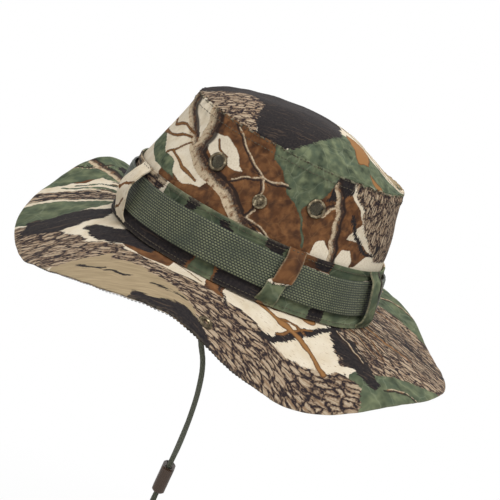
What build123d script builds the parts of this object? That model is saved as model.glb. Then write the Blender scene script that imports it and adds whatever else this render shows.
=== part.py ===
"""Boonie hat, in millimetres.

The origin is the middle of the head opening, in the plane of the seam between crown and brim.
+Z points up along the crown, the front of the hat is -Y, and the wearer's right is -X.
"""

from build123d import *
from math import atan2, cos, degrees, pi, radians, sin, sqrt, tan
import os

# Head opening and cloth
HEAD_LONG = 100.0        # half length of the opening, front to back: a 58 cm head
HEAD_WIDE = 83.0         # half width of the opening
CLOTH = 1.2              # crown and hat band cloth
SWEATBAND = 1.0          # folded cotton tape round the inside
SWEATBAND_HEIGHT = 36.0
LAYER_GAP = 0.3          # air between one layer of cloth and the next
TAPE = 0.6               # bias tape over the seams inside
TAPE_WIDTH = 9.0
TAPE_END_GAP = 1.0       # between two tapes, or a tape and the sweatband
SWEATBAND_START = 0.5
LABEL_WIDTH = 26.0       # blank size label
LABEL_START = 12.0
LABEL_HEIGHT = 16.0

# Crown
CROWN_HEIGHT = 102.0     # seam at the top edge, at mid length
CROWN_START = 0.4        # the wall stands this far above the brim's root
CROWN_TILT = 2.3         # degrees: the top edge is higher at the rear
BAND_LINE = 44.0         # height at which the wall changes slope
BAND_LINE_LONG = 97.0
BAND_LINE_WIDE = 78.0
BAND_LINE_SHIFT = 1.5    # towards the rear
TOP_LONG = 82.0
TOP_WIDE = 66.0
TOP_SHIFT = -4.0         # towards the front
DOME = 17.0              # rise of the soft top above its seam
DOME_STEPS = 5
DOME_ROUNDNESS = 0.7     # under 1 gives a flatter top with fuller shoulders
DOME_CLOSE = 84          # degrees: the last ring is nearly at the middle

# Hat band, webbing and the straps over it
HAT_BAND_START = 1.0
HAT_BAND_END = 44.0
WEBBING = 1.6
WEBBING_WIDTH = 25.4
WEBBING_START = 11.0
LOOP = 1.2
LOOP_WIDTH = 14.0
LOOP_START = 4.0
LOOP_END = 42.0
LOOP_ANGLES = {"front_right": 24, "side_right": 70, "rear_right": 152,
               "rear_left": 208, "side_left": 290, "front_left": 336}

# Vents: screened metal eyelets
VENT_HEIGHT = 73.5
VENT_SPREAD = 37.2       # each vent lies this far in front of or behind the snap
VENT_FLANGE = 6.8
VENT_HOLE = 4.6
VENT_METAL = 0.7
VENT_BEAD = 1.5          # height of the rolled rim
VENT_RIM = 0.8           # width of the rim's slopes
SCREEN = 0.3
SCREEN_FIT = 0.05

# Snaps that hold the brim up
SNAP_Y = 7.5
SNAP_HEIGHT = 63.0
STUD_FLANGE = 5.2
STUD_NOSE = 2.3
STUD_REACH = 3.2
STUD_NECK = 0.4          # the nose is this much wider than its neck
SOCKET_FLANGE = 5.6
SOCKET_REACH = 58.0      # distance of the socket from the brim's seam
SOCKET_HEIGHT = 1.9
CAP_DOME = 1.8
POST = 1.4
SOCKET_TUBE = 2.6        # outer radius of the tube that goes through the brim
SOCKET_FIT = 0.2         # stud nose to socket
POST_GAP = 0.2
SNAP_METAL = 0.8
SNAP_ROLL = 0.8          # width of a rolled rim
SEAT_GAP = 0.3           # metal to cloth
DRILL = 20.0             # longer than the layers that it goes through
BACK_GAP = 0.5           # flat metal to the hollow inside of the wall

# Brim: two plies of cloth with an interlining
BRIM_WIDTH = 76.0
PLY = 0.7
PLY_GAP = 0.25
EDGE_STEP = 20           # degrees between the heights below
EDGE_HEIGHTS = [-19, -17, -23, -44, -31, -12, -19, -38, -48, -42, -25, 7, -10, -11, -5, 1, -3, -17]
EDGE_BEND = 0.25         # share of the drop that comes from the bend towards the edge
BRIM_GRID_ROUND = 37
BRIM_GRID_OUT = 7

# The sides of the brim fold up on a line beside the crown
FOLD_X = 89.0
FOLD_GAP = 0.5

# Chin cord: one cord on each side, through a slider, to a knot
CORD = 4.0
CORD_ROUTES = {
    "right": [
        (-80.2, 9.0, 1.0), (-80.0, 9.2, -12.0), (-77.5, 7.6, -31.0), (-71.0, 0.6, -52.0),
        (-62.0, -6.4, -75.0), (-49.5, -11.2, -99.0), (-34.5, -13.6, -125.0), (-18.0, -14.6, -148.0),
        (-4.7, -15.2, -162.0), (-4.3, -15.0, -189.0), (-4.5, -15.4, -219.0), (-4.1, -14.9, -247.0),
        (-4.4, -15.2, -274.0), (-4.4, -15.2, -296.0)],
    "left": [
        (80.2, 9.0, 1.0), (80.0, 8.6, -12.0), (77.0, 9.6, -32.0), (70.0, 10.2, -53.0), (61.0, 4.4, -77.0),
        (49.0, -2.0, -101.0), (34.0, -9.0, -127.0), (17.5, -13.6, -149.0), (4.6, -15.4, -163.0),
        (4.4, -15.2, -191.0), (4.2, -14.8, -220.0), (4.5, -15.3, -248.0), (4.4, -15.2, -275.0),
        (4.4, -15.2, -296.0)],
}
CORD_RADIUS_SHARE = 0.45
SLIDER_TOP = -171.0
SLIDER_HEIGHT = 22.0
SLIDER_WIDE = 19.0
SLIDER_DEEP = 10.0
SLIDER_ROUND = 0.45      # corner radius as a share of the depth
SLIDER_EDGE = 1.2
SLIDER_CLEARANCE = 0.8
KNOT_RADIUS = 7.4
KNOT_END_RADIUS = 6.6
KNOT_LENGTH = 16.0
ANCHOR_WIDTH = 12.0
ANCHOR_HEIGHT = 16.0
ANCHOR_CLOTH = 3.2       # a tape folded round the end of the cord
ANCHOR_GAP = 0.05        # the cord's end to the tape it is sewn to

# Worked out from the sizes above
WALL_GROW = SWEATBAND + LAYER_GAP                     # head opening to the crown cloth's inside
BASE_LONG = HEAD_LONG + WALL_GROW + CLOTH             # crown cloth's outside at its seam
BASE_WIDE = HEAD_WIDE + WALL_GROW + CLOTH
BAND_GROW = LAYER_GAP                                 # crown cloth to the hat band's inside
WEBBING_GROW = BAND_GROW + CLOTH + LAYER_GAP
LOOP_GROW = WEBBING_GROW + WEBBING + LAYER_GAP
TALL = 3 * CROWN_HEIGHT                               # taller than anything that it cuts
SIDES = {"right": -1, "left": 1}
ENDS = {"front": -1, "rear": 1}

parts = {}


def mix(a, b, share):
    return a + (b - a) * share


# ---- Crown ---------------------------------------------------------------------------------

def crown_oval(height):
    """Half length, half width and shift towards the rear of the crown cloth at a height."""
    if height <= BAND_LINE:
        share = height / BAND_LINE
        return (mix(BASE_LONG, BAND_LINE_LONG, share), mix(BASE_WIDE, BAND_LINE_WIDE, share),
                BAND_LINE_SHIFT * share)
    share = (height - BAND_LINE) / (CROWN_HEIGHT - BAND_LINE)
    return (mix(BAND_LINE_LONG, TOP_LONG, share), mix(BAND_LINE_WIDE, TOP_WIDE, share),
            mix(BAND_LINE_SHIFT, TOP_SHIFT, share))


def crown_plane(height, rise=0.0):
    """The plane of the crown's section at a height: the higher, the more it tilts."""
    tilt = radians(CROWN_TILT * height / CROWN_HEIGHT)
    across = (0, -sin(tilt), cos(tilt))
    shift = crown_oval(height)[2]
    return Plane(origin=(0, shift + across[1] * rise, height + across[2] * rise),
                 x_dir=(1, 0, 0), z_dir=across)


def crown_section(height, grow, rise=0.0, scale=1.0):
    long, wide, _ = crown_oval(height)
    return crown_plane(height, rise) * Ellipse((wide + grow) * scale, (long + grow) * scale)


def crown_solid(start, end, grow):
    heights = [start, end]
    if start < BAND_LINE < end:
        heights.insert(1, BAND_LINE)
    return loft([crown_section(height, grow) for height in heights], ruled=True)


def crown_layer(start, end, inside, thickness):
    """A layer that follows the crown wall. inside is measured outwards from the crown cloth's outside."""
    return crown_solid(start, end, inside + thickness) - crown_solid(start, end, inside)


def wall_plane(y, height, side, grow=0.0):
    """A plane that touches the crown wall, or lies grow outside it, and faces outwards."""
    def at(y, height):
        tilt = radians(CROWN_TILT * height / CROWN_HEIGHT)
        station = height - (y - crown_oval(height)[2]) * tan(tilt)
        long, wide, shift = crown_oval(station)
        return Vector(side * wide * sqrt(1 - ((y - shift) / long) ** 2), y, height)

    point = at(y, height)
    along = at(y + 0.5, height) - at(y - 0.5, height)
    up = at(y, height + 0.5) - at(y, height - 0.5)
    outward = (along.cross(up) * side).normalized()
    return Plane(origin=point + outward * grow, x_dir=(0, 1, 0), z_dir=outward)


def half_space(side, gap):
    """Everything on one side of the hat's mid plane, less half a gap."""
    span = 4 * BASE_LONG
    return Pos(side * (span / 2 + gap / 2), 0, 0) * Box(span, span, span)


def dome_solid(shrink):
    """The soft top as rings that close in as they rise."""
    sections = []
    for step in range(DOME_STEPS):
        turn = radians(DOME_CLOSE * step / (DOME_STEPS - 1))
        scale = cos(turn) ** DOME_ROUNDNESS
        rise = LAYER_GAP + (DOME - shrink) * sin(turn)
        sections.append(crown_section(CROWN_HEIGHT, -shrink, rise, scale))
    return loft(sections, ruled=True)


crown_wall = crown_layer(CROWN_START, CROWN_HEIGHT, -CLOTH, CLOTH)
for name, side in SIDES.items():
    parts[f"crown_side_{name}"] = crown_wall & half_space(side, LAYER_GAP)

parts["crown_top"] = dome_solid(0) - dome_solid(CLOTH)

tape_inside = -CLOTH - LAYER_GAP - TAPE
top_tape_start = CROWN_HEIGHT - TAPE_WIDTH
parts["top_seam_tape"] = crown_layer(top_tape_start, CROWN_HEIGHT - LAYER_GAP, tape_inside, TAPE)

seam_tape = crown_layer(
    SWEATBAND_HEIGHT + TAPE_END_GAP, top_tape_start - TAPE_END_GAP, tape_inside, TAPE)
for name, toward in ENDS.items():
    strip = Pos(0, toward * BASE_LONG, 0) * Box(TAPE_WIDTH, BASE_LONG, TALL)
    parts[f"seam_tape_{name}"] = seam_tape & strip

sweatband_inside = -CLOTH - LAYER_GAP - SWEATBAND
parts["sweatband"] = crown_layer(SWEATBAND_START, SWEATBAND_HEIGHT, sweatband_inside, SWEATBAND)

label_inside = sweatband_inside - LAYER_GAP - TAPE
label_strip = Pos(0, BASE_LONG, 0) * Box(LABEL_WIDTH, BASE_LONG, TALL)
label = crown_layer(LABEL_START, LABEL_START + LABEL_HEIGHT, label_inside, TAPE)
parts["size_label"] = label & label_strip


# ---- Hat band, webbing and straps ----------------------------------------------------------

parts["hat_band"] = crown_layer(HAT_BAND_START, HAT_BAND_END, BAND_GROW, CLOTH)
parts["webbing_band"] = crown_layer(
    WEBBING_START, WEBBING_START + WEBBING_WIDTH, WEBBING_GROW, WEBBING)

loop_ring = crown_layer(LOOP_START, LOOP_END, LOOP_GROW, LOOP)
for name, angle in LOOP_ANGLES.items():
    toward_front = Pos(0, -BASE_LONG, 0) * Box(LOOP_WIDTH, 2 * BASE_LONG, TALL)
    turn = degrees(atan2(BASE_WIDE * sin(radians(angle)), BASE_LONG * cos(radians(angle))))
    parts[f"branch_loop_{name}"] = loop_ring & (Rot(0, 0, -turn) * toward_front)


# ---- Metal fittings ------------------------------------------------------------------------

def turned(outline):
    """A turned piece: outline is (radius, height) pairs in order."""
    profile = Polyline([(radius, 0, height) for radius, height in outline], close=True)
    return revolve(make_face(profile), Axis.Z)


def cut_through(names, plane, radius):
    drill = plane * Cylinder(radius, DRILL)
    for name in names:
        parts[name] = parts[name] - drill


def ring_plate(outer, inner, thickness):
    """A flat washer that stands on the plane."""
    return turned([(inner, 0), (outer, 0), (outer, thickness), (inner, thickness)])


vent_barrel = VENT_HOLE + VENT_METAL
for side_name, side in SIDES.items():
    for end_name, toward in ENDS.items():
        seat = wall_plane(SNAP_Y + toward * VENT_SPREAD, VENT_HEIGHT, side, SEAT_GAP)
        cut_through([f"crown_side_{side_name}"], seat, vent_barrel + POST_GAP)
        washer_top = -SEAT_GAP - CLOTH - BACK_GAP
        barrel_depth = VENT_METAL - washer_top
        eyelet = turned([
            (VENT_HOLE, -barrel_depth), (vent_barrel, -barrel_depth), (vent_barrel, 0),
            (VENT_FLANGE, 0), (VENT_FLANGE, VENT_METAL), (VENT_FLANGE - VENT_RIM, VENT_BEAD),
            (VENT_HOLE + VENT_RIM, VENT_BEAD), (VENT_HOLE, VENT_METAL)])
        back = seat * Pos(0, 0, washer_top - VENT_METAL)
        washer = ring_plate(VENT_FLANGE, vent_barrel + POST_GAP, VENT_METAL)
        screen = Pos(0, 0, -SCREEN) * Cylinder(VENT_HOLE - SCREEN_FIT, SCREEN)
        label = f"{side_name}_{end_name}"
        parts[f"vent_eyelet_{label}"] = seat * eyelet
        parts[f"vent_washer_{label}"] = back * washer
        parts[f"vent_screen_{label}"] = seat * screen

for side_name, side in SIDES.items():
    seat = wall_plane(SNAP_Y, SNAP_HEIGHT, side, SEAT_GAP)
    cut_through([f"crown_side_{side_name}"], seat, POST + POST_GAP)
    stud_back = -SEAT_GAP - CLOTH - BACK_GAP
    neck = STUD_NOSE - STUD_NECK
    nose_start = mix(SNAP_METAL, STUD_REACH, 0.4)
    stud = turned([
        (0, stud_back), (POST, stud_back), (POST, 0), (STUD_FLANGE, 0), (STUD_FLANGE, SNAP_METAL / 2),
        (STUD_FLANGE - SNAP_ROLL, 1.5 * SNAP_METAL), (STUD_FLANGE - 2 * SNAP_ROLL, SNAP_METAL),
        (neck, SNAP_METAL), (neck, nose_start), (STUD_NOSE, mix(nose_start, STUD_REACH, 0.4)),
        (neck, STUD_REACH), (0, STUD_REACH)])
    cap = turned([(0, stud_back - SNAP_METAL), (STUD_FLANGE - SNAP_METAL / 2, stud_back - SNAP_METAL),
                  (STUD_FLANGE, stud_back - SNAP_METAL / 2), (STUD_FLANGE, stud_back), (0, stud_back)])
    parts[f"snap_stud_{side_name}"] = seat * stud
    parts[f"snap_stud_back_{side_name}"] = seat * cap


# ---- Brim ----------------------------------------------------------------------------------

def edge_height(angle):
    """Height of the brim's edge, a smooth closed curve. The angle is from the front, by the right."""
    place = (angle / EDGE_STEP) % len(EDGE_HEIGHTS)
    first = int(place)
    share = place - first
    before, here, after, later = (EDGE_HEIGHTS[(first + k) % len(EDGE_HEIGHTS)] for k in (-1, 0, 1, 2))
    return 0.5 * (2 * here + (after - before) * share
                  + (2 * before - 5 * here + 4 * after - later) * share ** 2
                  + (3 * here - before - 3 * after + later) * share ** 3)


def brim_point(angle, share, below=0.0):
    """A point of the brim's upper face: share 0 is at the crown's outside and 1 is at the edge."""
    turn = radians(angle)
    outward = Vector(-BASE_LONG * sin(turn), -BASE_WIDE * cos(turn), 0).normalized()
    height = edge_height(angle)
    run = sqrt(BRIM_WIDTH ** 2 - height ** 2) * share
    out = max(share, 0)
    rise = height * out * mix(1 - EDGE_BEND, 1, out)
    root = Vector(-BASE_WIDE * sin(turn), -BASE_LONG * cos(turn), 0)
    return root + outward * run + Vector(0, 0, rise - below)


def brim_half(first_angle, top, thickness):
    """Half of one ply, from its face, swept straight down."""
    inner_share = -(WALL_GROW + CLOTH) / BRIM_WIDTH
    grid = []
    for row in range(BRIM_GRID_ROUND):
        angle = first_angle + 180 * row / (BRIM_GRID_ROUND - 1)
        shares = [mix(inner_share, 1, column / (BRIM_GRID_OUT - 1)) for column in range(BRIM_GRID_OUT)]
        grid.append([brim_point(angle, share, top) for share in shares])
    face = Face.make_surface_from_array_of_points(grid)
    return extrude(face, amount=thickness, dir=(0, 0, -1))


plies = {"upper": 0.0, "interlining": PLY + PLY_GAP, "lower": 2 * (PLY + PLY_GAP)}
span = 4 * (BRIM_WIDTH + BASE_LONG)
fold_inside = Box(2 * (FOLD_X - FOLD_GAP), span, span)
for ply, top in plies.items():
    halves = []
    for side_name, side in SIDES.items():
        half = brim_half(0 if side < 0 else 180, top, PLY)
        halves.append(half & fold_inside)
        fold_outside = Pos(side * (FOLD_X + span / 2), 0, 0) * Box(span, span, span)
        parts[f"brim_side_{ply}_{side_name}"] = half & fold_outside
    parts[f"brim_{ply}"] = halves

snap_share = SOCKET_REACH / BRIM_WIDTH
socket_base = -(3 * PLY + 2 * PLY_GAP) - 2 * SEAT_GAP
for side_name, side in SIDES.items():
    middle = 90 if side < 0 else 270
    angle = middle - side * degrees(SNAP_Y / (BASE_LONG + SOCKET_REACH * BASE_WIDE / BASE_LONG))
    point = brim_point(angle, snap_share)
    along = brim_point(angle + 1, snap_share) - brim_point(angle - 1, snap_share)
    outwards = brim_point(angle, snap_share + 0.01) - brim_point(angle, snap_share - 0.01)
    normal = along.cross(outwards).normalized()
    seat = Plane(origin=point + normal * SEAT_GAP, x_dir=(0, 1, 0), z_dir=normal)
    cut_through([f"brim_side_{ply}_{side_name}" for ply in plies], seat, SOCKET_TUBE + POST_GAP)
    bore = STUD_NOSE + SOCKET_FIT
    tube_bore = POST + STUD_NECK
    socket = turned([
        (tube_bore, socket_base), (SOCKET_TUBE, socket_base), (SOCKET_TUBE, 0), (SOCKET_FLANGE, 0),
        (SOCKET_FLANGE, SNAP_METAL), (SOCKET_FLANGE - SNAP_ROLL, SOCKET_HEIGHT),
        (bore + SNAP_ROLL, SOCKET_HEIGHT), (bore, SOCKET_HEIGHT - STUD_NECK), (bore, SNAP_METAL),
        (tube_bore, SNAP_METAL)])
    cap = turned([
        (0, socket_base - CAP_DOME), (SOCKET_FLANGE / 2, socket_base - 0.9 * CAP_DOME),
        (SOCKET_FLANGE - SNAP_ROLL, socket_base - 0.6 * CAP_DOME),
        (SOCKET_FLANGE, socket_base - 0.2 * CAP_DOME), (SOCKET_FLANGE, socket_base), (0, socket_base)])
    parts[f"snap_socket_{side_name}"] = seat * socket
    parts[f"snap_cap_{side_name}"] = seat * cap


# ---- Chin cord -----------------------------------------------------------------------------

def cord_tube(route):
    """Straight runs joined by the largest arcs that the runs allow."""
    points = [Vector(*point) for point in route]
    radii = []
    for before, here, after in zip(points, points[1:], points[2:]):
        turn = radians((here - before).get_angle(after - here))
        shorter = min((here - before).length, (after - here).length)
        radii.append(CORD_RADIUS_SHARE * shorter / tan(turn / 2))
    print("cord radii:", [round(radius) for radius in radii])
    path = FilletPolyline(*points, radius=radii)
    start = Plane(origin=points[0], z_dir=points[1] - points[0])
    tube = sweep(start * Circle(CORD / 2), path=path)
    share = tube.volume / (path.length * pi * CORD ** 2 / 4)
    print("cord length", round(path.length, 1), "volume over section times length", round(share, 4))
    return tube


for side_name, side in SIDES.items():
    route = CORD_ROUTES[side_name]
    parts[f"chin_cord_{side_name}"] = cord_tube(route)
    anchor_start = route[0][2] + ANCHOR_GAP
    anchor = crown_layer(anchor_start, anchor_start + ANCHOR_HEIGHT,
                         sweatband_inside - LAYER_GAP - ANCHOR_CLOTH, ANCHOR_CLOTH)
    beside_cord = Pos(side * BASE_WIDE, route[0][1], 0) * Box(BASE_WIDE, ANCHOR_WIDTH, TALL)
    parts[f"cord_anchor_{side_name}"] = anchor & beside_cord

cord_x, cord_y, cord_end = CORD_ROUTES["left"][-1]
slider = Pos(0, cord_y, SLIDER_TOP - SLIDER_HEIGHT / 2) * Box(SLIDER_WIDE, SLIDER_DEEP, SLIDER_HEIGHT)
slider = fillet(slider.edges().filter_by(Axis.Z), SLIDER_ROUND * SLIDER_DEEP)
slider = chamfer(slider.faces().sort_by(Axis.Z)[0].edges(), SLIDER_EDGE)
slider = chamfer(slider.faces().sort_by(Axis.Z)[-1].edges(), SLIDER_EDGE)
for x in (-cord_x, cord_x):
    bore = Cylinder(CORD / 2 + SLIDER_CLEARANCE, 2 * SLIDER_HEIGHT)
    slider = slider - Pos(x, cord_y, SLIDER_TOP) * bore
parts["cord_slider"] = slider

knot = turned([(0, 0), (KNOT_END_RADIUS, 0), (KNOT_RADIUS, -0.3 * KNOT_LENGTH),
               (KNOT_RADIUS, -0.6 * KNOT_LENGTH), (0.6 * KNOT_RADIUS, -KNOT_LENGTH), (0, -KNOT_LENGTH)])
parts["cord_knot"] = Pos(0, cord_y, cord_end) * knot


# ---- Write the pieces ----------------------------------------------------------------------

os.makedirs("parts", exist_ok=True)
for name, part in parts.items():
    shape = Compound(children=part) if isinstance(part, list) else part
    export_step(shape, f"parts/{name}.step")
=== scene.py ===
"""Boonie hat in printed cotton: cloth, webbing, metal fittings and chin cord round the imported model.
Metres, +Z up along the crown, the front of the hat is -Y and the wearer's right is -X."""
import bpy
import numpy as np
from math import cos, pi, radians, sin, sqrt
from mathutils import Matrix, Vector, noise


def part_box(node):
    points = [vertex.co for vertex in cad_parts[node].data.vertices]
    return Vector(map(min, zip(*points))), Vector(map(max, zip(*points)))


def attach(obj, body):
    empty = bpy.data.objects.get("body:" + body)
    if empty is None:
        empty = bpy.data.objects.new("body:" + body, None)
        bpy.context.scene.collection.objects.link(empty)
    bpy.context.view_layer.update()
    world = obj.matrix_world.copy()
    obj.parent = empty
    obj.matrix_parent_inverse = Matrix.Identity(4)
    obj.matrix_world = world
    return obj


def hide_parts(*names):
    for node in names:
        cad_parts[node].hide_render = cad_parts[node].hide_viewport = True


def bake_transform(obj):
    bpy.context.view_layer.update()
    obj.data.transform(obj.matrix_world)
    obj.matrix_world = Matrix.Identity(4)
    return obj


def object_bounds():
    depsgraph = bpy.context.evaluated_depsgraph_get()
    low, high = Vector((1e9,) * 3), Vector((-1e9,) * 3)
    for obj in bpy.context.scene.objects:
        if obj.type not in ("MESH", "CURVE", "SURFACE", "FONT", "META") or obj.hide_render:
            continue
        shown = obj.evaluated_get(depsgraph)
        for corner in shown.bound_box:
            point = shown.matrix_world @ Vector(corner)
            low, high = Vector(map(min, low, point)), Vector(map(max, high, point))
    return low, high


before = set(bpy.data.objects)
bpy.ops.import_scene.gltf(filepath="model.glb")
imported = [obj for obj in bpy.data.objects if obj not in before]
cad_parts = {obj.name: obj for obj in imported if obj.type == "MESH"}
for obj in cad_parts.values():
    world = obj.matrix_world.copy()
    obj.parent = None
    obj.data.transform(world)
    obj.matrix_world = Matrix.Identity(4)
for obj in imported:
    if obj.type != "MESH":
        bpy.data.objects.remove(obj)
cad_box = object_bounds()
bpy.ops.object.select_all(action="DESELECT")


# ---- Camera --------------------------------------------------------------------------------
# The hat is seen from the wearer's right and a little above. The camera is rolled, so that the
# hat seems tipped forward, as on a stand.
EYE = Vector((-1.0663, 0.0184, 0.2693))
SIGHT = Vector((0.9694, -0.0167, -0.2448)).normalized()
ROLL = radians(24.85)
level = SIGHT.cross(Vector((0, 0, 1))).normalized()
upright = level.cross(SIGHT)
right = upright * sin(ROLL) + level * cos(ROLL)
camera_data = bpy.data.cameras.new("camera")
camera_data.lens = 106.3
camera_data.sensor_width = 36
camera_data.shift_x = 0.0168
camera_data.shift_y = 0.0242
camera = bpy.data.objects.new("camera", camera_data)
bpy.context.scene.collection.objects.link(camera)
aim = Matrix((right, right.cross(SIGHT), -SIGHT)).transposed().to_4x4()
camera.matrix_world = Matrix.Translation(EYE) @ aim
bpy.context.scene.camera = camera


# ---- Chin cord -----------------------------------------------------------------------------
# A braided cotton cord, 4 mm thick, sewn into the sweatband on each side. The two strands come
# together in a leather slider and end in one knot.
CORD = 0.004
CORD_ROUTES = {
    "right": [
        (-0.0802, 0.009, 0.001), (-0.08, 0.0094, -0.012), (-0.0778, 0.008, -0.031), (-0.0742, 0.006, -0.0417),
        (-0.0718, 0.0025, -0.0495), (-0.0685, -0.0025, -0.0583), (-0.0646, -0.006, -0.0684),
        (-0.0598, -0.0085, -0.0793), (-0.0527, -0.0107, -0.0929), (-0.0422, -0.0127, -0.1117),
        (-0.03, -0.0142, -0.1325), (-0.018, -0.015, -0.148), (-0.0047, -0.0152, -0.162),
        (-0.0043, -0.015, -0.189), (-0.0045, -0.0154, -0.219), (-0.0041, -0.0149, -0.247),
        (-0.0044, -0.0152, -0.274), (-0.0044, -0.0152, -0.296)],
    "left": [
        (0.0802, 0.009, 0.001), (0.08, 0.0092, -0.012), (0.0765, 0.0105, -0.034), (0.069, 0.0095, -0.06),
        (0.0578, 0.0043, -0.0831), (0.0504, -0.005, -0.0973), (0.0457, -0.0087, -0.1056),
        (0.035, -0.0132, -0.1242), (0.0259, -0.0148, -0.137), (0.0175, -0.0152, -0.149),
        (0.0046, -0.0154, -0.163), (0.0044, -0.0152, -0.191),
        (0.0042, -0.0148, -0.22), (0.0045, -0.0153, -0.248), (0.0044, -0.0152, -0.275),
        (0.0044, -0.0152, -0.296)],
}


def dye(red, green, blue):
    """A colour given on the 0 to 255 scale of a screen, as Blender's linear values."""
    return tuple((c / 255 / 12.92 if c < 10 else ((c / 255 + 0.055) / 1.055) ** 2.4)
                 for c in (red, green, blue)) + (1,)


def add(tree, kind, inputs=None, **settings):
    """A node with its inputs set, or linked where the value is another node's socket."""
    made = tree.nodes.new(kind)
    for name, value in settings.items():
        setattr(made, name, value)
    for name, value in (inputs or {}).items():
        if isinstance(value, bpy.types.NodeSocket):
            tree.links.new(value, made.inputs[name])
        else:
            made.inputs[name].default_value = value
    return made


def maths(tree, operation, first, second=0.0, clamp=False):
    return add(tree, "ShaderNodeMath", {0: first, 1: second}, operation=operation, use_clamp=clamp).outputs[0]


def blend_colours(tree, share, under, over):
    return add(tree, "ShaderNodeMix", {0: share, 6: under, 7: over}, data_type="RGBA").outputs[2]


def noisy(tree, vector, scale, detail=3.0, stretch=None, distortion=0.0):
    """Noise between 0 and 1. stretch is how many times closer it lies each way."""
    if stretch:
        vector = add(tree, "ShaderNodeMapping", {"Vector": vector, "Scale": stretch}).outputs[0]
    return add(tree, "ShaderNodeTexNoise", {"Vector": vector, "Scale": scale, "Detail": detail,
                                             "Distortion": distortion}).outputs["Fac"]


def threshold(tree, value, low, high):
    return add(tree, "ShaderNodeMapRange", {"Value": value, "From Min": low, "From Max": high}).outputs[0]


def raise_relief(tree, shader, height, strength, distance):
    """Gives a surface its fine relief."""
    bump = add(tree, "ShaderNodeBump", {"Height": height, "Strength": strength, "Distance": distance})
    tree.links.new(bump.outputs[0], shader.inputs["Normal"])


def finish_named(name, shine):
    """A new material with its surface shader, ready for its colour."""
    material = bpy.data.materials.new(name)
    material.use_nodes = True
    tree = material.node_tree
    shader = tree.nodes["Principled BSDF"]
    for socket, value in shine.items():
        shader.inputs[socket].default_value = value
    return material, tree, shader


def attribute(tree, name):
    return add(tree, "ShaderNodeAttribute", attribute_name=name)


def give(piece, name, values, size=1):
    """Stores a value, or a vector, for each vertex."""
    kind = "FLOAT" if size == 1 else "FLOAT_VECTOR"
    kept = piece.data.attributes.get(name) or piece.data.attributes.new(name, kind, "POINT")
    kept.data.foreach_set("value" if size == 1 else "vector", np.asarray(values, np.float32).ravel())


def new_piece(name, corners, faces, edges=()):
    """A new piece with these corners, faces and loose edges."""
    mesh = bpy.data.meshes.new(name)
    mesh.from_pydata(corners, edges, faces)
    mesh.shade_smooth()
    piece = bpy.data.objects.new(name, mesh)
    bpy.context.scene.collection.objects.link(piece)
    return piece


def dress(piece, material, body, slot, *nodes):
    """Gives a finished piece its material, the body that it rides on and the nodes it stands for."""
    piece.data.materials.clear()
    piece.data.materials.append(material)
    if body:
        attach(piece, body)
    if nodes:
        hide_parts(*nodes)


def distance_along(line):
    return np.concatenate([[0], np.cumsum(np.linalg.norm(np.diff(line, axis=0), axis=1))])


def unit(vectors):
    return vectors / np.linalg.norm(vectors, axis=1)[:, None]


def smooth_line(points, step):
    """A route's smooth line, as points the same distance apart."""
    curve = bpy.data.curves.new("line", "CURVE")
    curve.dimensions = "3D"
    curve.resolution_u = 24
    spline = curve.splines.new("NURBS")
    spline.points.add(len(points) - 1)
    for point, place in zip(spline.points, points):
        point.co = (*place, 1)
    spline.order_u = 3
    spline.use_endpoint_u = True
    holder = bpy.data.objects.new("line", curve)
    mesh = bpy.data.meshes.new_from_object(holder)
    line = np.array([vertex.co for vertex in mesh.vertices])
    bpy.data.objects.remove(holder)
    bpy.data.meshes.remove(mesh)
    run = distance_along(line)
    even = np.linspace(0, run[-1], round(run[-1] / step) + 1)
    return np.stack([np.interp(even, run, line[:, axis]) for axis in range(3)], axis=1)


def frames_along(line):
    """Two directions across a line at each point, which turn with it as little as they can."""
    ahead = unit(np.gradient(line, axis=0))
    side = np.cross(ahead[0], (0.3, 1, 0.2))
    sides = []
    for direction in ahead:
        side = side - direction * (side @ direction)
        side = side / np.linalg.norm(side)
        sides.append(side)
    sides = np.array(sides)
    return ahead, sides, np.cross(ahead, sides)


BRAID_ROUND = 24
BRAID_LOBES = 3
BRAID_PITCH = 0.0105
BRAID_RELIEF = 0.14


def braided(name, line, radius):
    """A braided cord along a line: crossing strands stand out from its round."""
    ahead, sides, tops = frames_along(line)
    run = distance_along(line)
    turn = np.arange(BRAID_ROUND) * 2 * pi / BRAID_ROUND
    first = np.abs(np.cos(BRAID_LOBES * turn[None, :] + run[:, None] * 2 * pi / BRAID_PITCH))
    second = np.abs(np.cos(BRAID_LOBES * turn[None, :] - run[:, None] * 2 * pi / BRAID_PITCH))
    relief = np.maximum(first, second)
    reach = radius * (1 - BRAID_RELIEF + BRAID_RELIEF * relief)
    ring = line[:, None, :] + reach[:, :, None] * (
        np.cos(turn)[None, :, None] * sides[:, None, :] + np.sin(turn)[None, :, None] * tops[:, None, :])
    count = len(line)
    faces = [(row * BRAID_ROUND + place, row * BRAID_ROUND + (place + 1) % BRAID_ROUND,
              (row + 1) * BRAID_ROUND + (place + 1) % BRAID_ROUND, (row + 1) * BRAID_ROUND + place)
             for row in range(count - 1) for place in range(BRAID_ROUND)]
    faces.append(tuple(reversed(range(BRAID_ROUND))))
    faces.append(tuple((count - 1) * BRAID_ROUND + place for place in range(BRAID_ROUND)))
    piece = new_piece(name, ring.reshape(-1, 3).tolist(), faces)
    give(piece, "relief", relief)
    give(piece, "strand", np.broadcast_to(np.where(first > second, 1.0, 0.0), relief.shape))
    return piece


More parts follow.
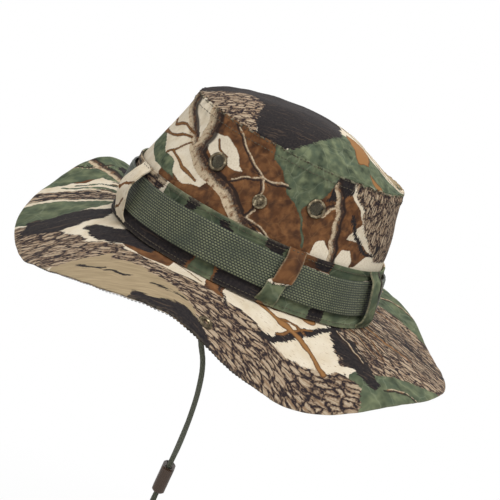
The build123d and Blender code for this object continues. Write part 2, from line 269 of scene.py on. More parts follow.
cord_cotton, tree, shader = finish_named("cord_cotton", {"Roughness": 0.86, "Sheen Weight": 0.15})
relief = attribute(tree, "relief").outputs["Fac"]
strand = attribute(tree, "strand").outputs["Fac"]
place = add(tree, "ShaderNodeTexCoord").outputs["Object"]
fibre = noisy(tree, place, 2200.0, 3.0)
patchy = noisy(tree, place, 120.0, 2.0)
colour = blend_colours(tree, strand, dye(78, 82, 66), dye(96, 100, 80))
colour = blend_colours(tree, maths(tree, "MULTIPLY", patchy, 0.5), colour, dye(60, 62, 52))
# Painted shade: the hollows between the braid's raised strands are darkened towards near black.
painted_hollow_shade = maths(tree, "SUBTRACT", 1.0, maths(tree, "POWER", relief, 3.0), clamp=True)
colour = blend_colours(tree, painted_hollow_shade, colour, dye(30, 32, 26))
colour = blend_colours(tree, maths(tree, "MULTIPLY", fibre, 0.35), colour, dye(128, 130, 108))
tree.links.new(colour, shader.inputs["Base Color"])
raise_relief(tree, shader, fibre, 0.35, 0.0003)

CORD_STEP = 0.0007
for side_name, route in CORD_ROUTES.items():
    line = smooth_line(route, CORD_STEP)
    strand_piece = braided(f"chin_cord_{side_name}_braid", line, CORD / 2)
    dress(strand_piece, cord_cotton, "crown", "olive_cord", f"chin_cord_{side_name}")

# The knot that ends the cord: both strands laid side by side through one overhand knot, pulled
# tight, with the cut ends standing out below it.
KNOT_TURNS = 160
KNOT_SWELL = 1.12
CORE_SHARE = 0.92
knot_low, knot_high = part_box("cord_knot")
knot_middle = (knot_low + knot_high) / 2
knot_reach = (knot_high.x - knot_low.x) / 2 - CORD / 2
knot_rise = (knot_high.z - knot_low.z) / 2 - CORD / 2
turns = np.linspace(0, 2 * pi, KNOT_TURNS)
lobes = (2 + np.cos(3 * turns)) / 3
knot_line = np.stack([
    knot_middle.x + knot_reach * lobes * np.cos(2 * turns),
    knot_middle.y + knot_reach * lobes * np.sin(2 * turns),
    knot_middle.z + knot_rise * np.sin(3 * turns)], axis=1)
knot = braided("cord_end_knot", knot_line, CORD / 2 * KNOT_SWELL)
bpy.ops.mesh.primitive_uv_sphere_add(segments=20, ring_count=12, radius=knot_reach * CORE_SHARE,
                                     location=knot_middle)
core = bpy.context.object
core.scale = (1, 1, knot_rise / knot_reach)
bpy.ops.object.transform_apply(location=True, rotation=False, scale=True)
# Painted shade: with a relief of 0 the core takes the cord's dark hollow colour all over, as the shade inside
# the knot.
give(core, "relief", np.zeros(len(core.data.vertices)))
give(core, "strand", np.zeros(len(core.data.vertices)))
ends = []
for sign in (-1, 1):
    foot = knot_middle + Vector((sign * CORD * 0.8, 0, -knot_rise * 0.6))
    tip = foot + Vector((sign * CORD * 0.7, sign * CORD * 0.3, -knot_rise * 0.95))
    tail = smooth_line([foot, (foot + tip) / 2 + Vector((0, 0.0006, 0)), tip], CORD_STEP)
    ends.append(braided("knot_tail", tail, CORD / 2))
bpy.ops.object.select_all(action="DESELECT")
for part in (knot, core, *ends):
    part.select_set(True)
bpy.context.view_layer.objects.active = knot
bpy.ops.object.join()
knot.data.shade_smooth()
dress(knot, cord_cotton, "crown", "olive_cord", "cord_knot")


# ---- Crown sides ---------------------------------------------------------------------------
# Two panels of printed cotton twill, cut to the wall's shape and joined at the front and at the
# rear. The wall is soft: it hangs in shallow folds from the top seam, and lies flat under the fittings.
CLOTH = 0.0012
BASE_LONG, BASE_WIDE = 0.1025, 0.0855
BAND_LINE = 0.044
BAND_LINE_LONG, BAND_LINE_WIDE, BAND_LINE_SHIFT = 0.097, 0.078, 0.0015
CROWN_HEIGHT = 0.102
TOP_LONG, TOP_WIDE, TOP_SHIFT = 0.082, 0.066, -0.004
CROWN_TILT = radians(2.3)
CROWN_CELL = 0.00125
SIDES = {"right": -1, "left": 1}
FITTING_FLAT, FITTING_SOFT = 0.0075, 0.02
FOLD_BROAD, FOLD_LEAN, FOLD_SMALL = 0.0042, 0.0026, 0.0009
PUCKERS, PUCKER_RISE = 58, 0.0006
SIDE_LENGTH = 0.288
SIDE_FINENESS = 1.6
FAR_SIDE_SHIFT = 12
PRINT_REACH = 14
LAYERS = ("rust", "pale", "green", "smooth", "bark", "dark", "branch", "twig")


def mix(first, second, share):
    return first + (second - first) * share


def ease(low, high, value):
    """0 below low, 1 above high and smooth between them."""
    share = np.clip((value - low) / (high - low), 0, 1)
    return share * share * (3 - 2 * share)


def soft_noise(points, seed=0.0):
    """Smooth noise from -1 to 1 at each point."""
    return np.array([noise.noise(Vector((p[0] + seed, p[1] - seed, p[2] + 2 * seed))) for p in points])


def crown_wall(turn, height, grow):
    """Points of the crown's outside, grow outside it. turn is in radians from the front, by the right."""
    low = np.clip(height / BAND_LINE, None, 1)
    high = np.clip((height - BAND_LINE) / (CROWN_HEIGHT - BAND_LINE), 0, None)
    long = mix(BASE_LONG, BAND_LINE_LONG, low) + (TOP_LONG - BAND_LINE_LONG) * high + grow
    wide = mix(BASE_WIDE, BAND_LINE_WIDE, low) + (TOP_WIDE - BAND_LINE_WIDE) * high + grow
    shift = BAND_LINE_SHIFT * low + (TOP_SHIFT - BAND_LINE_SHIFT) * high
    tilt = CROWN_TILT * height / CROWN_HEIGHT
    along = -long * np.cos(turn)
    return np.stack([-wide * np.sin(turn), shift + along * np.cos(tilt), height + along * np.sin(tilt)],
                    axis=1)


def cloth(name, width, length, cell, shape, flip=False):
    """A flat cut of cloth as a fine grid, moved to its shape. shape takes the cut's own places, 0 to 1
    each way, and the piece keeps its flat size in metres as its UV map."""
    bpy.ops.object.select_all(action="DESELECT")
    bpy.ops.mesh.primitive_grid_add(
        x_subdivisions=max(2, round(width / cell)), y_subdivisions=max(2, round(length / cell)), size=1)
    piece = bpy.context.object
    piece.name = name
    mesh = piece.data
    flat = np.empty(len(mesh.vertices) * 3)
    mesh.vertices.foreach_get("co", flat)
    flat = flat.reshape(-1, 3)[:, :2] + 0.5
    mesh.vertices.foreach_set("co", np.asarray(shape(flat[:, 0], flat[:, 1]), float).ravel())
    uv = np.empty(len(mesh.loops) * 2, np.float32)
    layer = mesh.uv_layers.active.data
    layer.foreach_get("uv", uv)
    layer.foreach_set("uv", (uv.reshape(-1, 2) * (width, length)).astype(np.float32).ravel())
    if flip:
        mesh.flip_normals()
    mesh.update()
    return piece, flat


def corners_of(piece):
    return np.array([vertex.co for vertex in piece.data.vertices])


def close_ring(piece):
    """Joins the two ends of a cut that goes all the way round."""
    bpy.context.view_layer.objects.active = piece
    bpy.ops.object.mode_set(mode="EDIT")
    bpy.ops.mesh.select_all(action="SELECT")
    bpy.ops.mesh.remove_doubles(threshold=0.00005)
    bpy.ops.object.mode_set(mode="OBJECT")


def take_up(piece):
    """Makes a piece the only one that is selected."""
    bpy.ops.object.select_all(action="DESELECT")
    piece.select_set(True)
    bpy.context.view_layer.objects.active = piece


def thicken(piece, thickness, back=0):
    """Gives a cut its thickness, inwards, and smooth faces. back is the material of its inner face."""
    solid = piece.modifiers.new("thickness", "SOLIDIFY")
    solid.thickness = thickness
    solid.offset = -1.0
    solid.material_offset = back
    take_up(piece)
    bpy.ops.object.modifier_apply(modifier=solid.name)
    bpy.ops.object.shade_smooth_by_angle(angle=radians(50))


def wander(places):
    """Places in the print with a gentle drift, so that no drawn edge is straight."""
    a, b = places[:, 0], places[:, 1]
    return np.stack([
        a + 1.3 * np.sin(b / 6.1 + 1.4 * np.sin(a / 9.7)) + 0.5 * np.sin(b / 2.3 + a / 3.7),
        b + 1.3 * np.sin(a / 6.7 + 1.3 * np.sin(b / 8.9)) + 0.5 * np.sin(a / 2.6 - b / 3.1)], axis=1)


def line_field(places, points, width):
    """How far inside a line of that width each place is, and on which side of its middle."""
    best = np.full(len(places), 1e9)
    side = np.zeros(len(places))
    for start, end in zip(np.array(points[:-1], float), np.array(points[1:], float)):
        run = end - start
        offset = places - start
        gap = offset - np.clip(offset @ run / (run @ run), 0, 1)[:, None] * run
        far = np.linalg.norm(gap, axis=1)
        turn = (run[0] * gap[:, 1] - run[1] * gap[:, 0]) / np.linalg.norm(run)
        side = np.where(far < best, turn, side)
        best = np.minimum(best, far)
    return width / 2 - best, side / max(width / 2, 1)


def patch_field(places, points):
    """How far inside an outline each place is, and less than 0 outside it."""
    closed = [*points, points[0]]
    outside = line_field(places, closed, 0)[0]
    inside = np.zeros(len(places), bool)
    for (a, b), (c, d) in zip(closed, closed[1:]):
        crossing = (b > places[:, 1]) != (d > places[:, 1])
        inside ^= crossing & (places[:, 0] < a + (places[:, 1] - b) * (c - a) / (d - b + 1e-9))
    return np.where(inside, -outside, outside)


def lay_print(piece, places, features, run=None, fineness=1.0):
    """Lays the print's patches and twigs on a piece. places are its vertices in the print, in
    millimetres, and each feature is its layer, its width, or 0 for a patch, and its points. run is
    where the vertices lie along and across the grain."""
    drifted = wander(places)
    fields = {layer: np.full(len(places), -float(PRINT_REACH)) for layer in LAYERS}
    side = np.zeros(len(places))
    for layer, width, points in features:
        if width:
            inside, across = line_field(drifted, points, width)
            if layer == "branch":
                side = np.where(inside > fields[layer], across, side)
        else:
            inside = patch_field(drifted, points)
        fields[layer] = np.maximum(fields[layer], inside)
    for layer, values in fields.items():
        give(piece, layer, np.clip(values, -PRINT_REACH, PRINT_REACH))
    give(piece, "branch_side", np.clip(side, -2, 2))
    run = (places if run is None else run) * fineness
    give(piece, "grain", np.column_stack([run, np.zeros(len(places))]), 3)


def wear(piece, values):
    give(piece, "wear", values)


def new_group(name, inputs, result):
    """A node group with its named inputs and one output, and the sockets inside it for both."""
    group = bpy.data.node_groups.new(name, "ShaderNodeTree")
    for socket, kind in inputs.items():
        group.interface.new_socket(name=socket, in_out="INPUT", socket_type=f"NodeSocket{kind}")
    group.interface.new_socket(name=result, in_out="OUTPUT", socket_type="NodeSocketFloat")
    return group, group.nodes.new("NodeGroupInput").outputs, group.nodes.new("NodeGroupOutput").inputs[result]


# The ragged edge of a printed patch: its field with noise on it, cut sharply.
ragged_edge, given, mask_socket = new_group(
    "ragged_edge", {"Field": "Float", "Vector": "Vector", "Raggedness": "Float"}, "Mask")
rough = add(ragged_edge, "ShaderNodeTexNoise", {"Vector": given["Vector"], "Scale": 0.42, "Detail": 5.0,
                                                 "Roughness": 0.65}).outputs["Fac"]
pushed = maths(ragged_edge, "MULTIPLY", maths(ragged_edge, "SUBTRACT", rough, 0.5), given["Raggedness"])
pushed = maths(ragged_edge, "ADD", pushed, given["Field"])
ragged_edge.links.new(threshold(ragged_edge, pushed, -0.15, 0.2), mask_socket)

# The cloth's weave: threads that cross over and under, at a named pitch, in the flat cut's own metres.
cloth_weave, given, height_socket = new_group("cloth_weave", {"Vector": "Vector", "Pitch": "Float"}, "Height")
parted = add(cloth_weave, "ShaderNodeSeparateXYZ", {"Vector": given["Vector"]}).outputs
rate = maths(cloth_weave, "DIVIDE", 2 * pi, given["Pitch"])
warp = maths(cloth_weave, "SINE", maths(cloth_weave, "MULTIPLY", parted["X"], rate))
weft = maths(cloth_weave, "SINE", maths(cloth_weave, "MULTIPLY", parted["Y"], rate))
height = add(cloth_weave, "ShaderNodeMath", {0: maths(cloth_weave, "MULTIPLY", warp, weft), 1: 0.5, 2: 0.5},
             operation="MULTIPLY_ADD").outputs[0]
cloth_weave.links.new(height, height_socket)


def grouped(tree, group, **values):
    return add(tree, "ShaderNodeGroup", values, node_tree=group).outputs[0]


def camouflage(name, faded):
    """Cotton printed with leaves, bark, twigs and dry grass. faded is for the unprinted back."""
    material, tree, shader = finish_named(name, {"Roughness": 0.9, "Specular IOR Level": 0.18})
    grain = attribute(tree, "grain").outputs["Vector"]
    field = {layer: attribute(tree, layer).outputs["Fac"] for layer in (*LAYERS, "branch_side", "wear")}

    fibrous = add(tree, "ShaderNodeMapping", {"Vector": grain, "Scale": (0.28, 1.5, 1)}).outputs[0]

    def mask(layer, ragged, along=grain):
        return grouped(tree, ragged_edge, Field=field[layer], Vector=along, Raggedness=ragged)

    def over(share, under, colour):
        return blend_colours(tree, share, under, colour)

    def shaken(scale, reach):
        """Places along the grain, pushed about by noise, so that what is drawn on them wanders."""
        noise_node = add(tree, "ShaderNodeTexNoise", {"Vector": grain, "Scale": scale, "Detail": 3.0})
        push = add(tree, "ShaderNodeVectorMath", {0: noise_node.outputs["Color"], 1: reach},
                   operation="MULTIPLY").outputs[0]
        return add(tree, "ShaderNodeVectorMath", {0: grain, 1: push}, operation="ADD").outputs[0]

    cloudy = noisy(tree, grain, 0.09, 2.0)
    mottled = noisy(tree, grain, 0.5, 4.0)
    streaky = noisy(tree, grain, 1.0, 4.0, (0.05, 0.55, 1), 0.6)
    fine = noisy(tree, grain, 1.0, 3.0, (0.25, 1.6, 1))
    # Dry ground: cream with faint straw lines
    colour = over(threshold(tree, cloudy, 0.35, 0.7), dye(236, 224, 202), dye(222, 206, 178))
    colour = over(threshold(tree, fine, 0.62, 0.72), colour, dye(168, 134, 96))
    # Rust-brown dead leaves, darker in their folds, with thin pale veins
    warped = shaken(0.07, (14.0, 9.0, 0.0))
    blotched = noisy(tree, warped, 0.1, 3.0)
    rust = over(threshold(tree, blotched, 0.36, 0.64), dye(92, 60, 38), dye(134, 92, 58))
    rust = over(threshold(tree, cloudy, 0.45, 0.68), rust, dye(74, 50, 36))
    cells = add(tree, "ShaderNodeTexVoronoi", {"Vector": warped, "Scale": 0.04, "Randomness": 1.0},
                feature="DISTANCE_TO_EDGE").outputs["Distance"]
    veins = maths(tree, "SUBTRACT", 1.0, threshold(tree, cells, 0.004, 0.022))
    rust = over(maths(tree, "MULTIPLY", veins, 0.16), rust, dye(166, 126, 86))
    colour = over(mask("rust", 2.2), colour, rust)
    pale = over(threshold(tree, mottled, 0.4, 0.75), dye(238, 226, 204), dye(218, 202, 174))
    colour = over(mask("pale", 1.6), colour, pale)
    # Green leaves, lighter towards their tips
    green = over(threshold(tree, cloudy, 0.32, 0.66), dye(60, 69, 54), dye(120, 128, 98))
    green = over(threshold(tree, blotched, 0.45, 0.7), green, dye(80, 92, 74))
    green = over(maths(tree, "MULTIPLY", veins, 0.3), green, dye(144, 152, 126))
    rim = threshold(tree, field["green"], 1.4, 0.0)
    green = over(maths(tree, "MULTIPLY", rim, 0.5), green, dye(56, 66, 56))
    colour = over(mask("green", 2.6), colour, green)
    # Smooth wood
    smooth = over(threshold(tree, streaky, 0.35, 0.7), dye(180, 160, 128), dye(154, 136, 106))
    smooth = over(threshold(tree, mottled, 0.68, 0.8), smooth, dye(116, 92, 66))
    colour = over(mask("smooth", 5.0, fibrous), colour, smooth)
    # Bark: pale plates between long dark cracks
    bent = shaken(0.16, (6.0, 3.4, 0.0))
    plates = add(tree, "ShaderNodeTexVoronoi", {
        "Vector": add(tree, "ShaderNodeMapping", {"Vector": bent, "Scale": (0.085, 0.25, 1)}).outputs[0],
        "Scale": 1.0, "Randomness": 0.9}, feature="DISTANCE_TO_EDGE").outputs["Distance"]
    frayed = maths(tree, "ADD", plates, maths(tree, "MULTIPLY", maths(tree, "SUBTRACT", fine, 0.5), 0.14))
    frayed = maths(tree, "ADD", frayed, maths(tree, "MULTIPLY", maths(tree, "SUBTRACT", mottled, 0.52), 0.5))
    cracks = maths(tree, "SUBTRACT", 1.0, threshold(tree, frayed, 0.03, 0.1))
    furrows = threshold(tree, noisy(tree, bent, 1.0, 4.0, (0.06, 0.5, 1), 0.2), 0.6, 0.65)
    bark = over(threshold(tree, fine, 0.3, 0.7), dye(164, 142, 118), dye(206, 188, 162))
    bark = over(threshold(tree, streaky, 0.5, 0.62), bark, dye(146, 120, 94))
    bark = over(threshold(tree, frayed, 0.2, 0.1), bark, dye(128, 106, 86))
    bark = over(furrows, bark, dye(74, 60, 54))
    bark = over(cracks, bark, dye(46, 38, 40))
    colour = over(mask("bark", 7.0, fibrous), colour, bark)
    # Deep shade, with a few dry fibres across it
    dark = over(threshold(tree, mottled, 0.4, 0.75), dye(34, 31, 33), dye(54, 48, 46))
    dark = over(threshold(tree, streaky, 0.58, 0.66), dark, dye(74, 62, 54))
    dark = over(threshold(tree, fine, 0.69, 0.75), dark, dye(126, 106, 86))
    colour = over(mask("dark", 9.0, fibrous), colour, dark)
    # Branches, lit on one side and in shade on the other, with the shadow that they throw
    beside = maths(tree, "MULTIPLY", threshold(tree, field["branch_side"], 0.2, 0.4),
                   threshold(tree, field["branch_side"], 1.9, 1.5))
    shadow = maths(tree, "MULTIPLY", threshold(tree, field["branch"], -3.4, -2.6), beside)
    colour = over(maths(tree, "MULTIPLY", shadow, 0.92), colour, dye(40, 32, 30))
    turned_away = maths(tree, "ADD", field["branch_side"], maths(tree, "MULTIPLY", mottled, 1.1))
    wood = over(threshold(tree, turned_away, 0.3, 1.0), dye(206, 186, 156), dye(62, 48, 42))
    wood = over(threshold(tree, noisy(tree, warped, 0.22, 4.0), 0.5, 0.68), wood, dye(128, 94, 66))
    wood = over(threshold(tree, fine, 0.58, 0.72), wood, dye(110, 86, 66))
    colour = over(mask("branch", 2.2), colour, wood)
    rounded = maths(tree, "ADD", field["twig"], maths(tree, "MULTIPLY", mottled, 0.8))
    twig = over(threshold(tree, rounded, 0.4, 1.7), dye(82, 54, 36), dye(156, 112, 68))
    colour = over(mask("twig", 1.3), colour, twig)
    # The dye wears off along folded edges, and fades unevenly
    colour = over(maths(tree, "MULTIPLY", field["wear"], threshold(tree, mottled, 0.3, 0.6)), colour,
                  dye(198, 184, 152))
    if faded:
        colour = over(0.62, colour, dye(186, 178, 152))
    cloth_uv = add(tree, "ShaderNodeTexCoord").outputs["UV"]
    threads = grouped(tree, cloth_weave, Vector=cloth_uv, Pitch=0.0009)
    colour = blend_colours(tree, maths(tree, "MULTIPLY", threads, 0.1), colour, dye(30, 28, 26))
    tree.links.new(colour, shader.inputs["Base Color"])
    fuzz = maths(tree, "ADD", threads, maths(tree, "MULTIPLY", noisy(tree, grain, 3.0, 3.0), 0.8))
    raise_relief(tree, shader, fuzz, 0.3, 0.0002)
    return material


camo = camouflage("camo_cotton", False)
camo_back = camouflage("camo_cotton_back", True)


def seat_of(node):
    """Middle of a flat round node and the direction it faces, away from the crown."""
    corners = corners_of(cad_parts[node])
    middle = (corners.min(0) + corners.max(0)) / 2
    facing = np.linalg.svd(corners - corners.mean(0), full_matrices=False)[2][2]
    return middle, facing * np.sign(facing[0] * middle[0])


fittings = [seat_of(f"vent_screen_{side}_{end}")[0] for side in SIDES for end in ("front", "rear")]
fittings += [seat_of(f"snap_stud_{side}")[0] for side in SIDES]


def crown_folds(points, height):
    """How far the soft wall stands in or out, flat under the fittings and at the hat band."""
    broad = soft_noise(points * (16, 16, 12), 3.1) * FOLD_BROAD
    lean = soft_noise(points * (34, 34, 11), 7.7) * FOLD_LEAN
    small = soft_noise(points * (70, 70, 60), 1.3) * FOLD_SMALL
    near = np.min([np.linalg.norm(points - fitting, axis=1) for fitting in fittings], axis=0)
    calm = mix(0.12, 1, ease(FITTING_FLAT, FITTING_SOFT, near)) * ease(BAND_LINE, BAND_LINE + 0.02, height)
    pucker = np.sin(np.arctan2(points[:, 0], points[:, 1]) * PUCKERS + 2.2 * soft_noise(points * 30, 5.5))
    gathered = PUCKER_RISE * pucker * ease(CROWN_HEIGHT - 0.016, CROWN_HEIGHT - 0.004, height)
    drawn_in = 1 - 0.5 * ease(CROWN_HEIGHT - 0.012, CROWN_HEIGHT, height)
    return (broad + lean) * calm * drawn_in + small * calm + gathered


VENT_PUNCH = 0.0054


def punch(piece, places, reach):
    """Cuts a round hole in the cloth at each place, for a fitting that goes through it."""
    bpy.ops.object.select_all(action="DESELECT")
    bpy.context.view_layer.objects.active = piece
    bpy.ops.object.mode_set(mode="EDIT")
    bpy.ops.mesh.select_mode(type="VERT")
    bpy.ops.mesh.select_all(action="DESELECT")
    bpy.ops.object.mode_set(mode="OBJECT")
    for vertex in piece.data.vertices:
        vertex.select = any((vertex.co - Vector(place)).length < reach for place in places)
    bpy.ops.object.mode_set(mode="EDIT")
    bpy.ops.mesh.delete(type="VERT")
    bpy.ops.object.mode_set(mode="OBJECT")


SEAM_WELT = 0.0006
WELT_HEIGHT = 0.0075
CROWN_PRINT = [
    ("rust", 0, [(62, 108), (56, 84), (57, 70), (46, 62), (50, 54), (66, 50), (80, 50), (82, 42),
                 (-70, 43), (-84, 50), (-72, 60), (-60, 60), (-66, 74),
                 (-50, 90), (-30, 108)]),
    ("rust", 0, [(104, 106), (92, 106), (90, 92), (98, 84), (106, 90)]),
    ("pale", 0, [(59, 90), (48, 92), (38, 86), (27, 73), (36, 75), (42, 79), (50, 76), (57, 80)]),
    ("pale", 0, [(-37, 42), (-40, 52), (-46, 55), (-50, 48), (-53, 42)]),
    ("pale", 0, [(-55, 42), (-58, 52), (-64, 55), (-68, 48), (-69, 42)]),
    ("pale", 0, [(-72, 42), (-76, 52), (-86, 57), (-88, 42)]),
    ("green", 0, [(14, 108), (10, 94), (0, 84), (-7, 76), (-15, 71), (-20, 66), (-23, 70), (-27, 78),
                  (-33, 88),
                  (-38, 98), (-42, 108)]),
    ("green", 2, [(-20, 70), (-24, 62), (-28, 54), (-31, 46)]),
    ("green", 0, [(102, 72), (97, 62), (88, 49), (70, 48), (73, 57), (81, 60), (86, 68), (92, 78)]),
    ("green", 0, [(94, 108), (78, 108), (76, 98), (82, 90), (88, 84), (92, 94)]),
    ("dark", 0, [(-33, 82), (-36, 96), (-42, 103), (-51, 102), (-50, 90), (-43, 85)]),
    ("bark", 0, [(-46, 108), (-50, 99), (-53, 90), (-60, 83), (-67, 72), (-76, 60), (-84, 48), (-102, 44),
                 (-102, 108)]),
    ("dark", 2.8, [(-56, 76), (-62, 67), (-68, 60), (-75, 54), (-81, 54), (-83, 61)]),
    ("branch", 10.5, [(8, 38), (14, 44), (21, 50), (32, 57), (45, 63), (57, 67), (63, 72), (62, 76)]),
    ("branch", 7, [(62, 72), (62, 80), (60, 92), (60, 108)]),
    ("branch", 6.5, [(65, 72), (73, 83), (79, 95), (80, 108)]),
    ("branch", 4.4, [(-53, 42), (-51, 59), (-47, 71), (-43, 82), (-38, 93)]),
    ("branch", 2.6, [(-43, 82), (-38, 78), (-36, 72)]),
    ("branch", 2.2, [(41, 100), (30, 89), (20, 82), (13, 78), (9, 70), (8, 60)]),
    ("branch", 2, [(30, 67), (22, 73), (13, 78), (3, 80), (-5, 80)]),
    ("branch", 2, [(8, 57), (12, 51), (5, 47), (-10, 42)]),
    ("twig", 2, [(96, 84), (86, 79), (78, 82), (70, 80)]),
    ("twig", 1.8, [(91, 68), (82, 74), (71, 77)]),
    ("twig", 1.8, [(80, 60), (75, 66), (69, 74)]),
    ("twig", 2.2, [(76, 63), (66, 57), (56, 56)]),
    ("twig", 1.6, [(52, 88), (46, 82), (40, 80)]),
]
for side_name, side in SIDES.items():
    def side_shape(across, up, side=side):
        turn = across * pi * -side
        height = mix(0.0004, CROWN_HEIGHT, up)
        points = crown_wall(turn, height, 0)
        folds = crown_folds(points, height) + SEAM_WELT * ease(CROWN_HEIGHT - WELT_HEIGHT - 0.0006,
                                                              CROWN_HEIGHT - WELT_HEIGHT, height)
        closing = ease(0, 0.004, across) * ease(1, 0.996, across)
        return crown_wall(turn, height, folds * mix(0.35, 1, closing))
    panel, flat = cloth(f"crown_side_{side_name}_cloth", SIDE_LENGTH, CROWN_HEIGHT, CROWN_CELL, side_shape,
                        flip=side < 0)
    corners = corners_of(panel) * 1000
    print_y = corners[:, 1] if side < 0 else FAR_SIDE_SHIFT - corners[:, 1]
    upright = np.column_stack([corners[:, 2], flat[:, 0] * SIDE_LENGTH * 1000])
    lay_print(panel, np.column_stack([print_y, corners[:, 2]]), CROWN_PRINT, run=upright,
              fineness=SIDE_FINENESS)
    wear(panel, 0.12 * ease(0.985, 1, flat[:, 1]))
    panel.data.materials.append(camo)
    panel.data.materials.append(camo_back)
    punch(panel, fittings[:4], VENT_PUNCH)
    thicken(panel, CLOTH, back=1)
    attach(panel, "crown")
    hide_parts(f"crown_side_{side_name}")


# ---- Thread --------------------------------------------------------------------------------
# Every seam is lockstitched in a drab polyester thread: short dashes whose ends dip into the cloth.
# Each stitch is the same four rings of thread, repeated along its seam.
THREAD = 0.0003
STITCH_LENGTH = 0.0021
STITCH_PITCH = 0.0028
STITCH_ROUND = 6
STITCH_RINGS = ((-0.5, 0.25, -0.9), (-0.25, 0.9, 0.2), (0.25, 0.9, 0.2), (0.5, 0.25, -0.9))
thread_drab, tree, shader = finish_named("thread_drab", {"Roughness": 0.7})
place = add(tree, "ShaderNodeTexCoord").outputs["Object"]
uneven = noisy(tree, place, 260.0, 2.0)
tree.links.new(blend_colours(tree, uneven, dye(58, 54, 42), dye(96, 88, 68)), shader.inputs["Base Color"])


def stitched(name, rows, blend=None, body="crown"):
    """Stitches along several rows. Each row is its points and the way its surface faces."""
    corners, faces = [], []
    for line, facing in rows:
        run = distance_along(line)
        count = max(1, int(run[-1] / STITCH_PITCH))
        middles = (np.arange(count) + 0.5) * run[-1] / count

        def at(distance, values, run=run):
            return np.stack([np.interp(distance, run, values[:, axis]) for axis in range(3)], axis=1)
        centre, up = at(middles, line), at(middles, facing)
        ahead = unit(at(middles + 0.0004, line) - at(middles - 0.0004, line))
        side = unit(np.cross(up, ahead))
        up = np.cross(ahead, side)
        for share, radius, sink in STITCH_RINGS:
            for place in range(STITCH_ROUND):
                turn = 2 * pi * place / STITCH_ROUND
                corners.append(centre + ahead * STITCH_LENGTH * share + side * THREAD * radius * cos(turn)
                               + up * THREAD * (radius * sin(turn) + sink))
        blocks = len(corners) - 4 * STITCH_ROUND
        first = sum(len(block) for block in corners[:blocks])
        for stitch in range(count):
            def corner(ring, place):
                return first + (ring * STITCH_ROUND + place % STITCH_ROUND) * count + stitch
            for ring in range(3):
                faces += [(corner(ring, place), corner(ring, place + 1), corner(ring + 1, place + 1),
                           corner(ring + 1, place)) for place in range(STITCH_ROUND)]
            faces.append(tuple(corner(0, place) for place in reversed(range(STITCH_ROUND))))
            faces.append(tuple(corner(3, place) for place in range(STITCH_ROUND)))
    piece = new_piece(name, np.concatenate(corners).tolist(), faces)
    dress(piece, thread_drab, None if blend else body, "lining_tape")
    if blend:
        blend(piece)
    return piece


def wall_row(height, grow, first=0.0, last=2 * pi, count=420, folds=True):
    """A seam's line round the crown wall and the way the wall faces there."""
    turn = np.linspace(first, last, count)
    height = np.full(count, height)
    points = crown_wall(turn, height, 0)
    extra = grow + (crown_folds(points, height) if folds else 0)
    points = crown_wall(turn, height, extra)
    return points, crown_wall(turn, height, extra + 0.001) - points


stitched("top_seam_stitching",
         [wall_row(CROWN_HEIGHT - rise, SEAM_WELT + 0.0001) for rise in (0.0014, 0.0062)])


# ---- Crown top -----------------------------------------------------------------------------
# One oval of the same cloth, eased into the top seam. It has no stiffening, so it rises in a soft
# dome, fuller at the rear, with a few dents.
DOME = 0.0205
DOME_ROUND = 0.92
DENT_BROAD, DENT_SMALL, DENT_FINE = 0.0042, 0.0013, 0.0004
TOP_PUCKER = 0.0002
TOP_CELL = 0.0016
TOP_FINENESS = 1.5
TOP_PRINT = [
    ("dark", 0, [(84, -8), (60, -12), (44, -16), (33, -34), (30, -68), (8, -68), (-6, -60), (-22, -40),
                 (-27, -14),
                 (-24, 20), (-8, 56), (30, 72), (84, 40)]),
    ("bark", 0, [(86, -10), (80, -40), (60, -66), (30, -70), (30, -34), (42, -14), (60, -8)]),
    ("pale", 0, [(-8, 66), (-12, 40), (-26, 10), (-30, -6), (-24, -14), (-34, -18), (-42, 10), (-40, 64)]),
    ("smooth", 0, [(-20, 60), (-34, 22), (-60, 12), (-90, 4), (-92, 60)]),
    ("green", 0, [(6, -70), (0, -44), (-12, -30), (-30, -10), (-60, -8), (-92, -16), (-92, -60), (-60, -72)]),
    ("green", 0, [(-44, 30), (-60, 22), (-90, 34), (-80, 56)]),
    ("twig", 0, [(-30, -2), (-35, -24), (-43, -40), (-52, -34), (-54, -12), (-44, -2)]),
    ("twig", 0, [(-54, -40), (-60, -48), (-72, -49), (-68, -42)]),
    ("branch", 3, [(-20, 50), (-30, 20), (-46, 4), (-70, -4), (-90, -6)]),
]


def top_shape(across, along):
    """The soft top: a grid squared onto the oval, so that its edge meets the seam."""
    a, b = across * 2 - 1, along * 2 - 1
    x, y = a * np.sqrt(1 - b * b / 2), b * np.sqrt(1 - a * a / 2)
    reach = np.clip(np.sqrt(x * x + y * y), 0, 1)
    turn = np.arctan2(-x, -y)
    seam = np.full(len(x), CROWN_HEIGHT)
    edge = crown_wall(turn, seam, crown_folds(crown_wall(turn, seam, 0), seam) + SEAM_WELT)
    middle = np.array([0, TOP_SHIFT, CROWN_HEIGHT])
    fullness = mix(2.0, 3.1, ease(-0.5, 0.6, y * reach))
    rounded = np.sin(reach * pi / 2) ** DOME_ROUND
    points = middle + (edge - middle) * rounded[:, None]
    rise = DOME * (1 - rounded ** fullness)
    dents = (soft_noise(points * (17, 17, 0), 9.4) * DENT_BROAD
             + soft_noise(points * (42, 42, 0), 2.2) * DENT_SMALL
             + soft_noise(points * (90, 90, 0), 4.2) * DENT_FINE)
    calm = ease(0.97, 0.72, reach)
    gathers = np.sin(turn * PUCKERS + 2.2 * soft_noise(points * 30, 5.5))
    pucker = TOP_PUCKER * gathers * ease(0.86, 0.97, reach) * ease(1, 0.985, reach)
    points[:, 2] += rise + dents * calm + pucker
    points[:, 2] += 0.0006 * ease(0.97, 0.94, reach) * ease(0.9, 0.93, reach)
    return points


